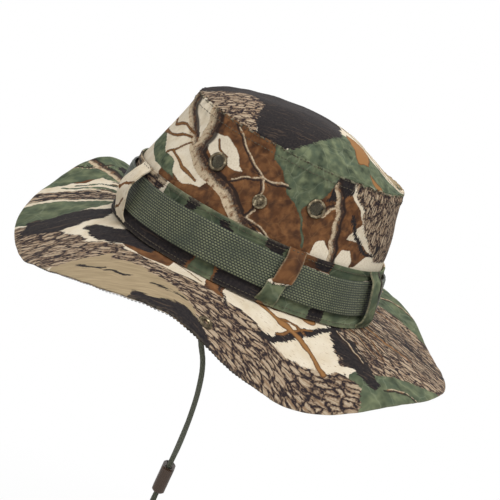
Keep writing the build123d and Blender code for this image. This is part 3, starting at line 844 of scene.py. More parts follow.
top, flat = cloth("crown_top_cloth", 2 * TOP_WIDE, 2 * TOP_LONG, TOP_CELL, top_shape)
corners = corners_of(top) * 1000
lay_print(top, corners[:, [1, 0]], TOP_PRINT, fineness=TOP_FINENESS)
wear(top, np.zeros(len(corners)))
top.data.materials.append(camo)
top.data.materials.append(camo_back)
thicken(top, CLOTH, back=1)
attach(top, "crown")
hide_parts("crown_top")


# ---- Hat band ------------------------------------------------------------------------------
# A folded strip of the same cloth round the foot of the crown. Its upper edge is turned in and
# stitched down, and its lower edge stands a little off the brim.
BAND_START, BAND_END = 0.001, 0.044
BAND_GROW = 0.0015
BAND_CELL = 0.0015
BAND_LENGTH = 0.582
BAND_PRINT = [
    ("rust", 0, [(-24, 48), (-24, 34), (-60, 34), (-60, 48)]),
    ("green", 0, [(72, 48), (72, 34), (-26, 34), (-26, 48)]),
    ("dark", 0, [(53, 48), (52, 36), (44, 37), (41, 48)]),
    ("dark", 0, [(28, 42), (22, 44), (17, 38), (24, 34)]),
    ("pale", 0, [(27, 37), (23, 41), (21, 36), (24, 34)]),
    ("dark", 0, [(-8, 48), (-9, 37), (-22, 34), (-26, 48)]),
    ("dark", 0, [(-44, 48), (-45, 36), (-57, 34), (-57, 48)]),
    ("green", 0, [(-57, 48), (-57, 34), (-110, 34), (-110, 48)]),
    ("bark", 0, [(110, 48), (110, 34), (76, 34), (72, 48)]),
    ("rust", 0, [(112, 16), (112, -6), (-112, -6), (-112, 16)]),
    ("dark", 0, [(110, 16), (110, -6), (36, -6), (34, 16)]),
    ("green", 0, [(33, 16), (34, -6), (17, -6), (18, 16)]),
    ("dark", 0, [(16, 16), (15, -6), (-20, -6), (-19, 16)]),
    ("green", 0, [(-28, 16), (-31, -6), (-110, -6), (-110, 16)]),
    ("dark", 0, [(-54, 16), (-55, -6), (-67, -6), (-66, 16)]),
]


def band_point(turn, height, grow):
    """A place on the hat band: its free edges stand off the wall in slow waves."""
    points = crown_wall(turn, height, 0)
    free = ease(0.010, 0.002, height) * 0.0017 + ease(0.0385, 0.0435, height) * 0.0007
    waves = 1 + 0.8 * soft_noise(points * (38, 38, 9), 6.4)
    near_edges = ease(0.011, 0.008, height) + ease(0.036, 0.039, height)
    creases = soft_noise(points * (60, 60, 25), 8.8) * 0.0003 * near_edges
    turned_edge = 0.00035 * (ease(0.0394, 0.0400, height) + ease(0.0052, 0.0046, height))
    return crown_wall(turn, height, grow + free * waves + creases + turned_edge)


def band_shape(across, up):
    return band_point(across * 2 * pi, mix(BAND_START, BAND_END, up), BAND_GROW)


band, flat = cloth("hat_band_cloth", BAND_LENGTH, BAND_END - BAND_START, BAND_CELL, band_shape, flip=True)
close_ring(band)
corners = corners_of(band) * 1000
print_y = np.where(corners[:, 0] < 0, corners[:, 1], FAR_SIDE_SHIFT - corners[:, 1])
lay_print(band, np.column_stack([print_y, corners[:, 2]]), BAND_PRINT)
wear(band, 0.3 * ease(42.9, 44, corners[:, 2]) + 0.12 * ease(1.8, 1, corners[:, 2]))
thicken(band, CLOTH)
dress(band, camo, "crown", "camo_cotton", "hat_band")


def band_row(height, grow, count=420):
    turn = np.linspace(0, 2 * pi, count)
    height = np.full(count, height)
    points = band_point(turn, height, grow)
    return points, band_point(turn, height, grow + 0.001) - points


stitched("hat_band_stitching", [band_row(0.0408, BAND_GROW + 0.0001), band_row(0.0038, BAND_GROW + 0.0001)])


# ---- Webbing band --------------------------------------------------------------------------
# Olive nylon webbing, 25 mm wide, threaded under the straps. Its weave is coarse: rows of raised
# picks, painted light, on a ground painted near black as shade. It stands off the band a little
# between the straps.
LOOP_ANGLES = {"front_right": 24, "side_right": 74, "rear_right": 152,
               "rear_left": 208, "side_left": 290, "front_left": 336}
WEBBING = 0.0016
WEBBING_START, WEBBING_END = 0.0108, 0.0366
WEBBING_GROW = 0.0018 + WEBBING
WEBBING_LENGTH = 0.586
PICK_LONG, PICK_WIDE = 0.0021, 0.00172
PICK_RELIEF = 0.00032
PICK_BED = 0.0003
WEBBING_SLACK = 0.0016
WEBBING_CELL = 0.00095
RIB_PITCH = 0.0147


def slack_between(turn):
    """0 at each strap and 1 halfway between two."""
    stops = np.radians(sorted(LOOP_ANGLES.values()))
    stops = np.concatenate([[stops[-1] - 2 * pi], stops, [stops[0] + 2 * pi]])
    place = np.searchsorted(stops, turn).clip(1, len(stops) - 1)
    share = (turn - stops[place - 1]) / (stops[place] - stops[place - 1])
    return np.sin(share * pi) ** 2


def webbing_shape(across, up):
    turn = across * 2 * pi
    height = mix(WEBBING_START, WEBBING_END, up)
    column = np.round(across * WEBBING_LENGTH / (PICK_LONG / 2)).astype(int)
    row = np.round(up * (WEBBING_END - WEBBING_START) / (PICK_WIDE / 2)).astype(int)
    raised = ((column + row) % 2 == 0) & (row % 2 == 0)
    picks = np.where(raised, 1.0, np.where((column + row) % 2 == 0, -0.5, 0.0))
    selvedge = ease(0.055, 0.02, up) + ease(0.945, 0.98, up)
    lean = 0.0006 * np.sin(across * 2 * pi * 9) * (up - 0.5)
    grow = WEBBING_GROW + WEBBING_SLACK * slack_between(turn) + PICK_RELIEF * picks * (1 - selvedge) + lean
    return crown_wall(turn, height + 0.0006 * np.sin(across * 2 * pi * 4 + 1), grow - 0.0003 * selvedge)


webbing, flat = cloth("webbing_band_weave", WEBBING_LENGTH, WEBBING_END - WEBBING_START, WEBBING_CELL,
                      webbing_shape, flip=True)
close_ring(webbing)
olive_webbing, tree, shader = finish_named("olive_webbing", {"Roughness": 0.62, "Sheen Weight": 0.1})
cut = add(tree, "ShaderNodeTexCoord").outputs["UV"]
parted = add(tree, "ShaderNodeSeparateXYZ", {"Vector": cut}).outputs
column = maths(tree, "DIVIDE", parted["X"], PICK_LONG)
row = maths(tree, "DIVIDE", parted["Y"], PICK_WIDE)
every_other = maths(tree, "MULTIPLY", maths(tree, "MODULO", maths(tree, "FLOOR", row), 2.0), 0.5)


def off_middle(places):
    """How far each place lies from the middle of its cell, whose width is 1."""
    return maths(tree, "ABSOLUTE", maths(tree, "SUBTRACT", maths(tree, "FRACT", places), 0.5))


along = off_middle(maths(tree, "ADD", column, every_other))
across = off_middle(row)
tilted = maths(tree, "ADD", maths(tree, "POWER", maths(tree, "DIVIDE", along, 0.41), 2.0),
               maths(tree, "POWER", maths(tree, "DIVIDE", across, 0.34), 2.0))
pick = threshold(tree, tilted, 1.15, 0.55)
worn = noisy(tree, cut, 45.0, 3.0)
deep = noisy(tree, cut, 9.0, 2.0)
# Painted shade and light: the ground between the picks is painted near black as their shade, and the raised
# picks are painted pale as if lit.
ground = blend_colours(tree, worn, dye(26, 31, 25), dye(42, 49, 37))
light = blend_colours(tree, deep, dye(98, 104, 76), dye(138, 142, 106))
light = blend_colours(tree, threshold(tree, worn, 0.42, 0.72), light, dye(76, 84, 62))
ribs = threshold(tree, off_middle(maths(tree, "DIVIDE", parted["X"], RIB_PITCH)), 0.03, 0.012)
light = blend_colours(tree, maths(tree, "MULTIPLY", ribs, 0.6), light, dye(40, 46, 34))
tree.links.new(blend_colours(tree, pick, ground, light), shader.inputs["Base Color"])
strands = noisy(tree, cut, 1.0, 2.0, (900.0, 5200.0, 1.0))
heights = maths(tree, "ADD", pick, maths(tree, "MULTIPLY", strands, 0.5))
raise_relief(tree, shader, heights, 0.6, 0.0003)
thicken(webbing, WEBBING - PICK_BED)
dress(webbing, olive_webbing, "crown", "olive_webbing", "webbing_band")


# ---- Straps over the webbing ---------------------------------------------------------------
# Six short straps of folded camouflage cloth, tacked to the hat band above and below the webbing.
# They hold leaves and twigs, so they are loose, and each one arches its own way.
LOOP_WIDTH = 0.0135
LOOP_CLOTH = 0.0011
LOOP_CELL = 0.0011
LOOP_TOP, LOOP_FOOT = 0.0448, 0.0012
LOOP_TURNED_ENDS = 0.012
LOOP_GROW, LOOP_LIFT = 0.0034, 0.0019
LOOP_LINE_WIDE, LOOP_LINE_LONG = 0.0775, 0.0965
LOOP_ARCH = {"front_right": 0.0035, "side_right": 0.0016, "rear_right": 0.0062,
             "rear_left": 0.004, "side_left": 0.002, "front_left": 0.003}
LOOP_LEAN = {"front_right": 0.001, "side_right": -0.0075, "rear_right": 0.0012,
             "rear_left": -0.001, "side_left": 0.002, "front_left": -0.0012}
LOOP_STEP = {name: -0.0026 if name == "side_right" else 0.0 for name in LOOP_ANGLES}
LOOP_PRINTS = {
    "side_right": [("rust", 0, [(-9, 50), (9, 50), (9, 20.5), (-9, 20.5)]),
                   ("pale", 0, [(9, 25), (5.5, 22.5), (1.5, 19.6), (9, 19.6)]),
                   ("dark", 0.8, [(-9, 19.6), (9, 19.6)]),
                   ("green", 0, [(-9, 19.4), (9, 19.4), (9, -3), (-9, -3)])],
    "rear_right": [("rust", 2.2, [(-9, 30), (0, 27), (3, 24), (9, 26)]),
                   ("twig", 1.8, [(-3, 18), (1, 12), (6, 9)]),
                   ("bark", 0, [(-9, 48), (9, 48), (9, 44), (-9, 43)])],
    "front_right": [("green", 0, [(-9, 50), (9, 50), (9, -3), (-9, -3)]),
                    ("dark", 0, [(-9, 50), (-4.6, 50), (-4.6, -3), (-9, -3)])],
    "rear_left": [("green", 0, [(-9, 48), (9, 48), (9, 14), (-9, 10)]),
                  ("dark", 0, [(-9, 10), (9, 14), (9, -3), (-9, -3)])],
    "side_left": [("bark", 0, [(-9, 48), (9, 48), (9, 24), (-9, 20)]),
                  ("twig", 2, [(-6, 18), (0, 10), (5, 2)])],
    "front_left": [("rust", 0, [(-9, 48), (9, 48), (9, 30), (-9, 26)]),
                   ("green", 0, [(-9, 18), (9, 22), (9, -3), (-9, -3)])],
}
loop_length = LOOP_TOP - LOOP_FOOT + LOOP_TURNED_ENDS
for index, (name, angle) in enumerate(LOOP_ANGLES.items()):
    middle = radians(angle)
    rate = sqrt((LOOP_LINE_WIDE * cos(middle)) ** 2 + (LOOP_LINE_LONG * sin(middle)) ** 2)

    def loop_shape(across, up, middle=middle, rate=rate, index=index, name=name):
        height = mix(LOOP_FOOT, LOOP_TOP, up)
        lift = ease(0.0, 0.17, up) * ease(1, 0.84, up)
        skew = LOOP_LEAN[name] * (up - 0.5) + LOOP_STEP[name] * (ease(0.4, 0.47, up) - 0.5)
        waist = 1 - 0.09 * np.sin(up * pi) + 0.05 * np.cos(up * 2 * pi * 1.5 + index)
        turn = middle + ((across - 0.5) * LOOP_WIDTH * waist + skew) / rate
        arch = LOOP_ARCH[name] * np.sin(np.clip((up - 0.03) / 0.94, 0, 1) * pi) ** 1.2
        base = crown_wall(turn, height, 0)
        crease = soft_noise(base * (150, 150, 90), 3.3 + index) * 0.0005
        cup = 0.0007 * (np.abs(across - 0.5) * 2) ** 3 * np.sin(up * pi * 3 + index)
        grow = LOOP_GROW + LOOP_LIFT * lift + arch + (crease + cup) * ease(0, 0.15, up) * ease(1, 0.85, up)
        grow += WEBBING_SLACK * 0.4 * lift
        return crown_wall(turn, height, grow)

    loop, flat = cloth(f"branch_loop_{name}_cloth", LOOP_WIDTH, loop_length, LOOP_CELL, loop_shape, flip=True)
    places = 1000 * np.column_stack([(flat[:, 0] - 0.5) * LOOP_WIDTH, mix(LOOP_FOOT, LOOP_TOP, flat[:, 1])])
    lay_print(loop, places, LOOP_PRINTS[name], run=places[:, ::-1])
    wear(loop, 0.45 * ease(0.44, 0.5, np.abs(flat[:, 0] - 0.5)) + 0.4 * ease(0.03, 0, flat[:, 1]))
    thicken(loop, LOOP_CLOTH)
    dress(loop, camo, "crown", "camo_cotton", f"branch_loop_{name}")
    tacks = []
    for up in (0.035, 0.965):
        across = np.linspace(0.12, 0.88, 12)
        line = loop_shape(across, np.full(12, up))
        facing = np.cross(np.gradient(line, axis=0), (0, 0, 1.0))
        facing = unit(facing * np.sign((facing * line).sum(1))[:, None])
        tacks.append((line + facing * 0.0001, facing))
    stitched(f"branch_loop_{name}_stitching", tacks)


# ---- Vents and snaps -----------------------------------------------------------------------
# Screened brass eyelets and a snap stud on each side of the crown, and a snap socket with a domed
# cap on each side of the brim. The brass is darkened, and bare where it is rubbed.
antique_brass, tree, shader = finish_named("antique_brass", {"Metallic": 1.0, "Roughness": 0.4})
place = add(tree, "ShaderNodeTexCoord").outputs["Object"]
tarnish = noisy(tree, place, 420.0, 4.0)
grit = noisy(tree, place, 2600.0, 2.0)
metal = blend_colours(tree, threshold(tree, tarnish, 0.38, 0.62), dye(74, 66, 54), dye(126, 114, 92))
metal = blend_colours(tree, threshold(tree, tarnish, 0.6, 0.7), metal, dye(184, 172, 144))
tree.links.new(metal, shader.inputs["Base Color"])
tree.links.new(add(tree, "ShaderNodeMapRange", {"Value": tarnish, "To Min": 0.54, "To Max": 0.32}).outputs[0],
               shader.inputs["Roughness"])
raise_relief(tree, shader, grit, 0.25, 0.0002)


def turned(node_name, profile, reach):
    """Turns a profile of radii and heights in place of a round fitting, whose top is at reach."""
    corners = corners_of(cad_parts[node_name])
    middle, facing = seat_of(node_name)
    middle = middle + facing * ((corners @ facing).max() - middle @ facing - reach)
    piece = new_piece(f"{node_name}_turned", [(radius, 0, height) for radius, height in profile], [],
                      [(point, point + 1) for point in range(len(profile) - 1)])
    take_up(piece)
    lathe = piece.modifiers.new("lathe", "SCREW")
    lathe.steps = lathe.render_steps = 72
    lathe.use_merge_vertices = True
    lathe.merge_threshold = 0.00001
    bpy.ops.object.modifier_apply(modifier=lathe.name)
    bpy.ops.object.mode_set(mode="EDIT")
    bpy.ops.mesh.select_all(action="SELECT")
    bpy.ops.mesh.normals_make_consistent(inside=False)
    bpy.ops.object.mode_set(mode="OBJECT")
    piece.matrix_world = Matrix.Translation(Vector(middle)) @ Vector(facing).to_track_quat(
        "Z", "Y").to_matrix().to_4x4()
    bpy.ops.object.transform_apply(location=True, rotation=True, scale=True)
    bpy.ops.object.shade_smooth_by_angle(angle=radians(40))
    dress(piece, antique_brass, "crown", "antique_brass", node_name)


bead = [(0.0057 - 0.0011 * cos(step * pi / 10), 0.0006 + 0.0009 * sin(step * pi / 10)) for step in range(11)]
for side_name in SIDES:
    for end_name in ("front", "rear"):
        turned(f"vent_eyelet_{side_name}_{end_name}", [
            (0.0053, 0), (0.0053, -0.0012), (0.0046, -0.0012), *bead, (0.0068, 0), (0.0053, 0)], 0.0015)
    turned(f"snap_stud_{side_name}", [
        (0.0012, 0), (0.0052, 0), (0.0052, 0.0005), (0.005, 0.001), (0.0046, 0.0012), (0.0041, 0.0011),
        (0.0036, 0.0008), (0.0021, 0.0008), (0.0019, 0.001), (0.0019, 0.0016), (0.0022, 0.0021),
        (0.0023, 0.0025), (0.0021, 0.0029), (0.0016, 0.0031), (0.0008, 0.0032), (0, 0.0032)], 0.0032)
for node_name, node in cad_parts.items():
    if node_name.startswith(("vent_washer", "snap_cap", "snap_socket", "snap_stud_back")):
        dress(node, antique_brass, None, "antique_brass")
        node.data.shade_smooth()
        node.data.set_sharp_from_angle(angle=radians(38))

# The screens are squares of fine blackened wire, woven over and under.
WIRE = 0.00013
WIRE_PITCH = 0.00062
WIRE_ROUND = 5
SCREEN_REACH = 0.0046
screen_wire, tree, shader = finish_named("screen_wire", {"Metallic": 0.6, "Roughness": 0.5})
place = add(tree, "ShaderNodeTexCoord").outputs["Object"]
dull = noisy(tree, place, 700.0, 2.0)
tree.links.new(blend_colours(tree, dull, dye(40, 41, 36), dye(70, 70, 60)), shader.inputs["Base Color"])
for side_name in SIDES:
    for end_name in ("front", "rear"):
        middle, facing = seat_of(f"vent_screen_{side_name}_{end_name}")
        first = np.cross(facing, (0, 0, 1.0))
        first /= np.linalg.norm(first)
        second = np.cross(facing, first)
        corners, faces = [], []
        count = int(SCREEN_REACH / WIRE_PITCH)
        for along, across, phase in ((first, second, 0), (second, first, 1)):
            for wire in range(-count, count + 1):
                offset = wire * WIRE_PITCH
                half = sqrt(SCREEN_REACH ** 2 - offset ** 2)
                steps = max(3, int(2 * half / (WIRE_PITCH / 2)))
                for step in range(steps + 1):
                    distance = mix(-half, half, step / steps)
                    lift = WIRE * cos(pi * (distance / WIRE_PITCH + wire + phase))
                    centre = middle + along * distance + across * offset + facing * lift
                    for corner in range(WIRE_ROUND):
                        turn = 2 * pi * corner / WIRE_ROUND
                        corners.append(centre + across * WIRE * cos(turn) + facing * WIRE * sin(turn))
                    if step:
                        here = len(corners) - WIRE_ROUND
                        before = here - WIRE_ROUND
                        faces += [(before + corner, before + (corner + 1) % WIRE_ROUND,
                                   here + (corner + 1) % WIRE_ROUND, here + corner)
                                  for corner in range(WIRE_ROUND)]
        screen = new_piece(f"vent_screen_{side_name}_{end_name}_wire", np.array(corners).tolist(), faces)
        dress(screen, screen_wire, "crown", "vent_mesh", f"vent_screen_{side_name}_{end_name}")


# ---- Brim ----------------------------------------------------------------------------------
# Two plies of printed cloth with a stiff interlining between them, quilted together by rows of
# stitching. It is wavy and droops most at the rear, and lies flat round each side's snap.
BRIM_WIDTH = 0.076
BRIM_LENGTH = 0.415
BRIM_CELL = 0.0015
PLY = 0.0007
PLY_DROP = 0.00095
EDGE_HEIGHTS = [-19, -17, -23, -44, -31, -12, -19, -38, -48, -42, -25, 7, -10, -11, -5, 1, -3, -17]
EDGE_STEP = 20
EDGE_BEND = 0.25
SNAP_OUT, SNAP_BACK = 0.1425, 0.0075
STITCH_STAND = 0.00012
ROW_FIRST, ROW_STEP, ROW_COUNT = 0.0085, 0.0068, 9
EDGE_ROW = 0.0024
PUFF = 0.00042
BRIM_PRINT_RIGHT = [
    ("bark", 0, [(84, -80), (62, -89), (44, -94), (24, -98), (8, -100), (-20, -104), (-50, -112), (-70, -104),
                 (-94, -98), (-108, -104), (-112, -122), (-104, -146), (-80, -176), (-6, -180),
                 (6, -162), (12, -143),
                 (22, -129), (36, -120), (48, -112), (64, -104), (82, -98)]),
    ("bark", 0, [(168, -22), (152, -18), (128, -40), (106, -66), (84, -74), (78, -84), (98, -96), (122, -112),
                 (168, -80)]),
    ("smooth", 0, [(112, -76), (92, -83), (76, -88), (64, -103), (46, -109), (30, -116), (8, -134), (4, -160),
                   (40, -170), (92, -152), (118, -112)]),
    ("dark", 2.6, [(100, -110), (92, -114), (84, -115)]),
    ("dark", 0, [(112, -42), (108, -58), (92, -71), (62, -79), (58, -66), (84, -50)]),
    ("dark", 0, [(60, -141), (44, -145), (26, -141), (13, -143), (0, -154), (-8, -166), (-8, -178),
                 (64, -178)]),
    ("dark", 2.2, [(50, -126), (38, -131), (24, -130)]),
    ("dark", 2, [(84, -118), (74, -121), (64, -119)]),
    ("rust", 0, [(84, -66), (82, -77), (66, -87), (46, -90), (42, -78), (60, -70)]),
    ("rust", 0, [(18, -82), (17, -103), (4, -104), (3, -82)]),
    ("dark", 2.4, [(8, -80), (6, -92), (0, -106)]),
    ("twig", 4.2, [(-8, -83), (-35, -87), (-57, -91), (-66, -95), (-80, -103)]),
    ("twig", 6, [(4, -82), (-20, -80.5), (-40, -77.5), (-60, -70)]),
    ("twig", 2, [(-35, -87), (-50, -84), (-62, -86)]),
    ("twig", 1.8, [(44, -80), (30, -88), (20, -95)]),
    ("dark", 5.6, [(-80, -58), (-64, -80), (-52, -93), (-38, -106), (-30, -109)]),
    ("twig", 2.2, [(-64, -77), (-51, -90), (-40, -100)]),
    ("bark", 0, [(-70, -54), (-84, -50), (-96, -30), (-100, -2), (-140, 4), (-184, 2), (-186, -44),
                 (-146, -61),
                 (-124, -80), (-104, -94), (-90, -93), (-76, -70)]),
    ("dark", 0, [(-74, -62), (-82, -80), (-93, -92), (-118, -100), (-121, -92), (-106, -78), (-92, -66)]),
    ("dark", 5, [(-104, 10), (-130, 8), (-178, 2)]),
    ("twig", 3.4, [(-96, -20), (-118, -27), (-142, -28)]),
    ("branch", 1.8, [(-126, -92), (-142, -85), (-158, -82)]),
    ("pale", 3, [(-80, -52), (-100, -50), (-118, -54)]),
    ("branch", 2.4, [(-80, -47), (-100, -44), (-122, -46)]),
    ("green", 0, [(-98, -98), (-112, -88), (-128, -72), (-146, -58), (-166, -48), (-186, -44), (-186, -60),
                  (-164, -120), (-134, -142), (-106, -152), (-104, -124)]),
    ("pale", 2.6, [(-122, -80), (-138, -70), (-154, -60)]),
    ("rust", 0, [(-98, -6), (-100, -32), (-128, -34), (-150, -18), (-162, -8), (-150, 6), (-120, 2)]),
    ("twig", 1.8, [(-92, -28), (-108, -45), (-124, -62)]),
    ("twig", 1.8, [(-88, -44), (-104, -56), (-118, -60)]),
    ("dark", 0, [(156, -36), (130, -40), (104, -32), (98, -12), (120, -10), (156, -12)]),
]
# Dry grass fans out from under the band to the front edge
GRASS_BLADES = 14
for step in range(GRASS_BLADES):
    share = step / (GRASS_BLADES - 1)
    start = np.array([-78 - 20 * share, -62 + 62 * share])
    end = np.array([-120 - 56 * share, -94 + 92 * share])
    end = start + (end - start) * (0.62 if share < 0.65 else 1.0)
    layer, width = (("branch", 1.6), ("dark", 1.9), ("twig", 1.3), ("branch", 1.2), ("dark", 1.4))[step % 5]
    bow = (start + end) / 2 + np.array([0, 2.0 * sin(step * 2.4)])
    BRIM_PRINT_RIGHT.append((layer, width, [tuple(start), tuple(bow), tuple(end)]))
BRIM_PRINT_MIDDLE = [
    ("bark", 0, [(-100, 2), (-100, 62), (-130, 72), (-180, 60), (-184, 4), (-150, 0)]),
    ("pale", 3, [(-104, 30), (-130, 34), (-172, 22)]),
    ("dark", 4, [(-102, 14), (-134, 20), (-176, 12)]),
    ("twig", 2.6, [(-104, 44), (-132, 50), (-170, 40)]),
    ("green", 0, [(-84, 64), (-100, 62), (-126, 72), (-150, 64), (-176, 58), (-176, 104), (-130, 124),
                  (-92, 112)]),
    ("rust", 0, [(-122, 90), (-150, 78), (-168, 84), (-150, 110), (-120, 108)]),
    ("branch", 2.4, [(-96, 84), (-120, 92), (-150, 92)]),
    ("green", 0, [(-98, 60), (-112, 80), (-134, 84), (-150, 70), (-128, 66)]),
    ("green", 0, [(176, -16), (150, -18), (124, -12), (106, -2), (104, 8), (130, 17), (176, 20)]),
    ("pale", 2.2, [(106, -4), (124, -13), (146, -17)]),
    ("pale", 1.8, [(108, 9), (124, 15), (148, 19)]),
    ("pale", 1.4, [(130, 6), (150, 7), (166, 4)]),
    ("bark", 0, [(100, 14), (102, 42), (130, 45), (176, 38), (176, 24), (130, 20)]),
    ("dark", 3.2, [(102, 18), (130, 25), (172, 28)]),
    ("dark", 3.2, [(102, 36), (130, 37), (172, 36)]),
    ("green", 4, [(103, 48), (126, 51), (150, 50)]),
    ("green", 2.6, [(106, 57), (122, 59), (140, 56)]),
    ("rust", 0, [(154, 56), (134, 62), (130, 72), (144, 78), (158, 66)]),
    ("green", 0, [(98, 62), (122, 70), (142, 86), (134, 104), (108, 102), (94, 82)]),
    ("branch", 6, [(102, 64), (118, 78), (140, 94)]),
    ("rust", 0, [(96, 92), (112, 104), (104, 116), (86, 108)]),
]
turned_round = [(layer, width, [(-y, -x) for y, x in points]) for layer, width, points in BRIM_PRINT_RIGHT
                if max(x for _, x in points) < -40]
BRIM_PRINT = BRIM_PRINT_RIGHT + BRIM_PRINT_MIDDLE + turned_round


def edge_height(turn):
    """Height of the brim's edge, a smooth closed curve through EDGE_HEIGHTS."""
    count = len(EDGE_HEIGHTS)
    place = (np.degrees(turn) / EDGE_STEP) % count
    first = place.astype(int)
    share = place - first
    heights = np.array(EDGE_HEIGHTS) / 1000
    before, here, after, later = (heights[(first + step) % count] for step in (-1, 0, 1, 2))
    return 0.5 * (2 * here + (after - before) * share
                  + (2 * before - 5 * here + 4 * after - later) * share ** 2
                  + (3 * here - before - 3 * after + later) * share ** 3)


def brim_face(turn, share):
    """The brim's upper face: share is 0 at the crown's outside and 1 at the edge."""
    outward = unit(np.stack([-BASE_LONG * np.sin(turn), -BASE_WIDE * np.cos(turn)], axis=1))
    height = edge_height(turn)
    out = np.clip(share, 0, None)
    run = np.sqrt(BRIM_WIDTH ** 2 - height ** 2) * share
    root = np.stack([-BASE_WIDE * np.sin(turn), -BASE_LONG * np.cos(turn)], axis=1)
    plan = root + outward * run[:, None]
    rise = height * out * mix(1 - EDGE_BEND, 1, out)
    return np.column_stack([plan, rise])


def brim_soft(turn, share):
    """The brim's face with its quilting and its slow ripples. The ripples die out at the root."""
    points = brim_face(turn, share)
    distance = share * BRIM_WIDTH
    in_row = (distance - ROW_FIRST) / ROW_STEP
    quilted = ease(0, 0.4, in_row) * ease(BRIM_WIDTH - 0.002, BRIM_WIDTH - 0.004, distance)
    puff = PUFF * (np.abs(np.sin(np.clip(in_row, 0, 30) * pi)) ** 0.6 - 0.6) * quilted
    plan = points * (1, 1, 0)
    ripple = soft_noise(plan * (26, 26, 1), 12.3) * 0.0022 * ease(0.05, 0.7, share)
    pucker = soft_noise(plan * (110, 110, 1), 2.9) * 0.0005 * ease(0.02, 0.2, share)
    near = np.min([np.linalg.norm((plan - (x, SNAP_BACK, 0))[:, :2], axis=1)
                   for x in (-SNAP_OUT, SNAP_OUT)], axis=0)
    calm = mix(0.1, 1, ease(0.007, 0.02, near))
    edge = -0.0005 * ease(0.985, 1, share)
    points[:, 2] += (ripple + pucker + puff) * calm + edge
    return points


def bend_up():
    """Bakes a piece's transform into its mesh; the cloth is not bent up to its snap."""
    return lambda piece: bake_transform(piece)


interlining, tree, shader = finish_named("interlining", {"Roughness": 0.9})
cut = add(tree, "ShaderNodeTexCoord").outputs["UV"]
felted = noisy(tree, cut, 900.0, 4.0)
colour = blend_colours(tree, felted, dye(196, 186, 160), dye(222, 214, 192))
tree.links.new(colour, shader.inputs["Base Color"])
raise_relief(tree, shader, felted, 0.3, 0.0002)

PLIES = {"upper": (0.0, camo, "camo_cotton", 0.0, BRIM_CELL),
         "interlining": (PLY_DROP, interlining, "interlining", 0.0012, 0.003),
         "lower": (2 * PLY_DROP, camo, "camo_cotton", 0.0009, 0.0019)}
INNER_SHARE = -0.0022 / BRIM_WIDTH
UNDERSIDE_SHIFT = (20, 6)
for ply, (drop, material, slot_name, inset, cell) in PLIES.items():
    for side_name, side in SIDES.items():
        def ply_shape(around, out, side=side, drop=drop, inset=inset, ply=ply):
            turn = pi * around if side < 0 else pi + pi * around
            points = brim_soft(turn, mix(INNER_SHARE, 1 - inset / BRIM_WIDTH, out))
            points[:, 2] -= drop
            if ply == "lower":
                points[:, 2] += 0.0004 * ease(0.97, 1, out)
            return points
        piece, flat = cloth(f"brim_{ply}_cloth_{side_name}", BRIM_LENGTH, BRIM_WIDTH, cell, ply_shape,
                            flip=True)
        if ply != "interlining":
            corners = corners_of(piece) * 1000
            places = corners[:, [1, 0]] if ply == "upper" else corners[:, [1, 0]] * (-1, 1) + UNDERSIDE_SHIFT
            lay_print(piece, places, BRIM_PRINT)
            wear(piece, 0.1 * ease(0.985, 1, flat[:, 1]))
        thicken(piece, PLY)
        dress(piece, material, None, slot_name, f"brim_{ply}", f"brim_side_{ply}_{side_name}")
        bend_up()(piece)


def brim_row(side, distance, below, count=260):
    """A row of stitching round one side of the brim, on its upper face, or its lower one if below."""
    turn = np.linspace(0, pi, count) + (0 if side < 0 else pi)
    share = np.full(count, distance / BRIM_WIDTH)
    points = brim_soft(turn, share)
    around = np.gradient(points, axis=0)
    outwards = brim_soft(turn, share + 0.01) - points
    facing = np.cross(outwards, around)
    facing = unit(facing * np.sign(facing[:, 2])[:, None] * (-1 if below else 1))
    if below:
        points[:, 2] -= 2 * PLY_DROP + PLY
    return points + facing * STITCH_STAND, facing


row_places = [ROW_FIRST + ROW_STEP * row for row in range(ROW_COUNT)] + [BRIM_WIDTH - EDGE_ROW]
for side_name, side in SIDES.items():
    for face_name, below in (("upper", False), ("lower", True)):
        rows = [brim_row(side, place, below) for place in row_places]
        stitched(f"brim_{face_name}_stitching_{side_name}", rows, blend=bend_up())


# ---- Inside of the hat ---------------------------------------------------------------------
# A folded cotton sweatband, bias tape over the seams, a blank woven size label and the tapes that
# hold the ends of the chin cord.
lining_tape, tree, shader = finish_named("lining_tape", {"Roughness": 0.85, "Sheen Weight": 0.1})
cut = add(tree, "ShaderNodeTexCoord").outputs["UV"]
threads = grouped(tree, cloth_weave, Vector=cut, Pitch=0.0012)
shade = noisy(tree, cut, 30.0, 3.0)
colour = blend_colours(tree, shade, dye(84, 88, 66), dye(112, 114, 88))
colour = blend_colours(tree, maths(tree, "MULTIPLY", threads, 0.3), colour, dye(58, 60, 46))
tree.links.new(colour, shader.inputs["Base Color"])
raise_relief(tree, shader, threads, 0.5, 0.0003)
label_cloth, tree, shader = finish_named("label_cloth", {"Roughness": 0.7})
cut = add(tree, "ShaderNodeTexCoord").outputs["UV"]
threads = grouped(tree, cloth_weave, Vector=cut, Pitch=0.0006)
shade = noisy(tree, cut, 120.0, 3.0)
colour = blend_colours(tree, shade, dye(206, 202, 188), dye(226, 222, 210))
tree.links.new(blend_colours(tree, maths(tree, "MULTIPLY", threads, 0.2), colour, dye(170, 166, 150)),
               shader.inputs["Base Color"])

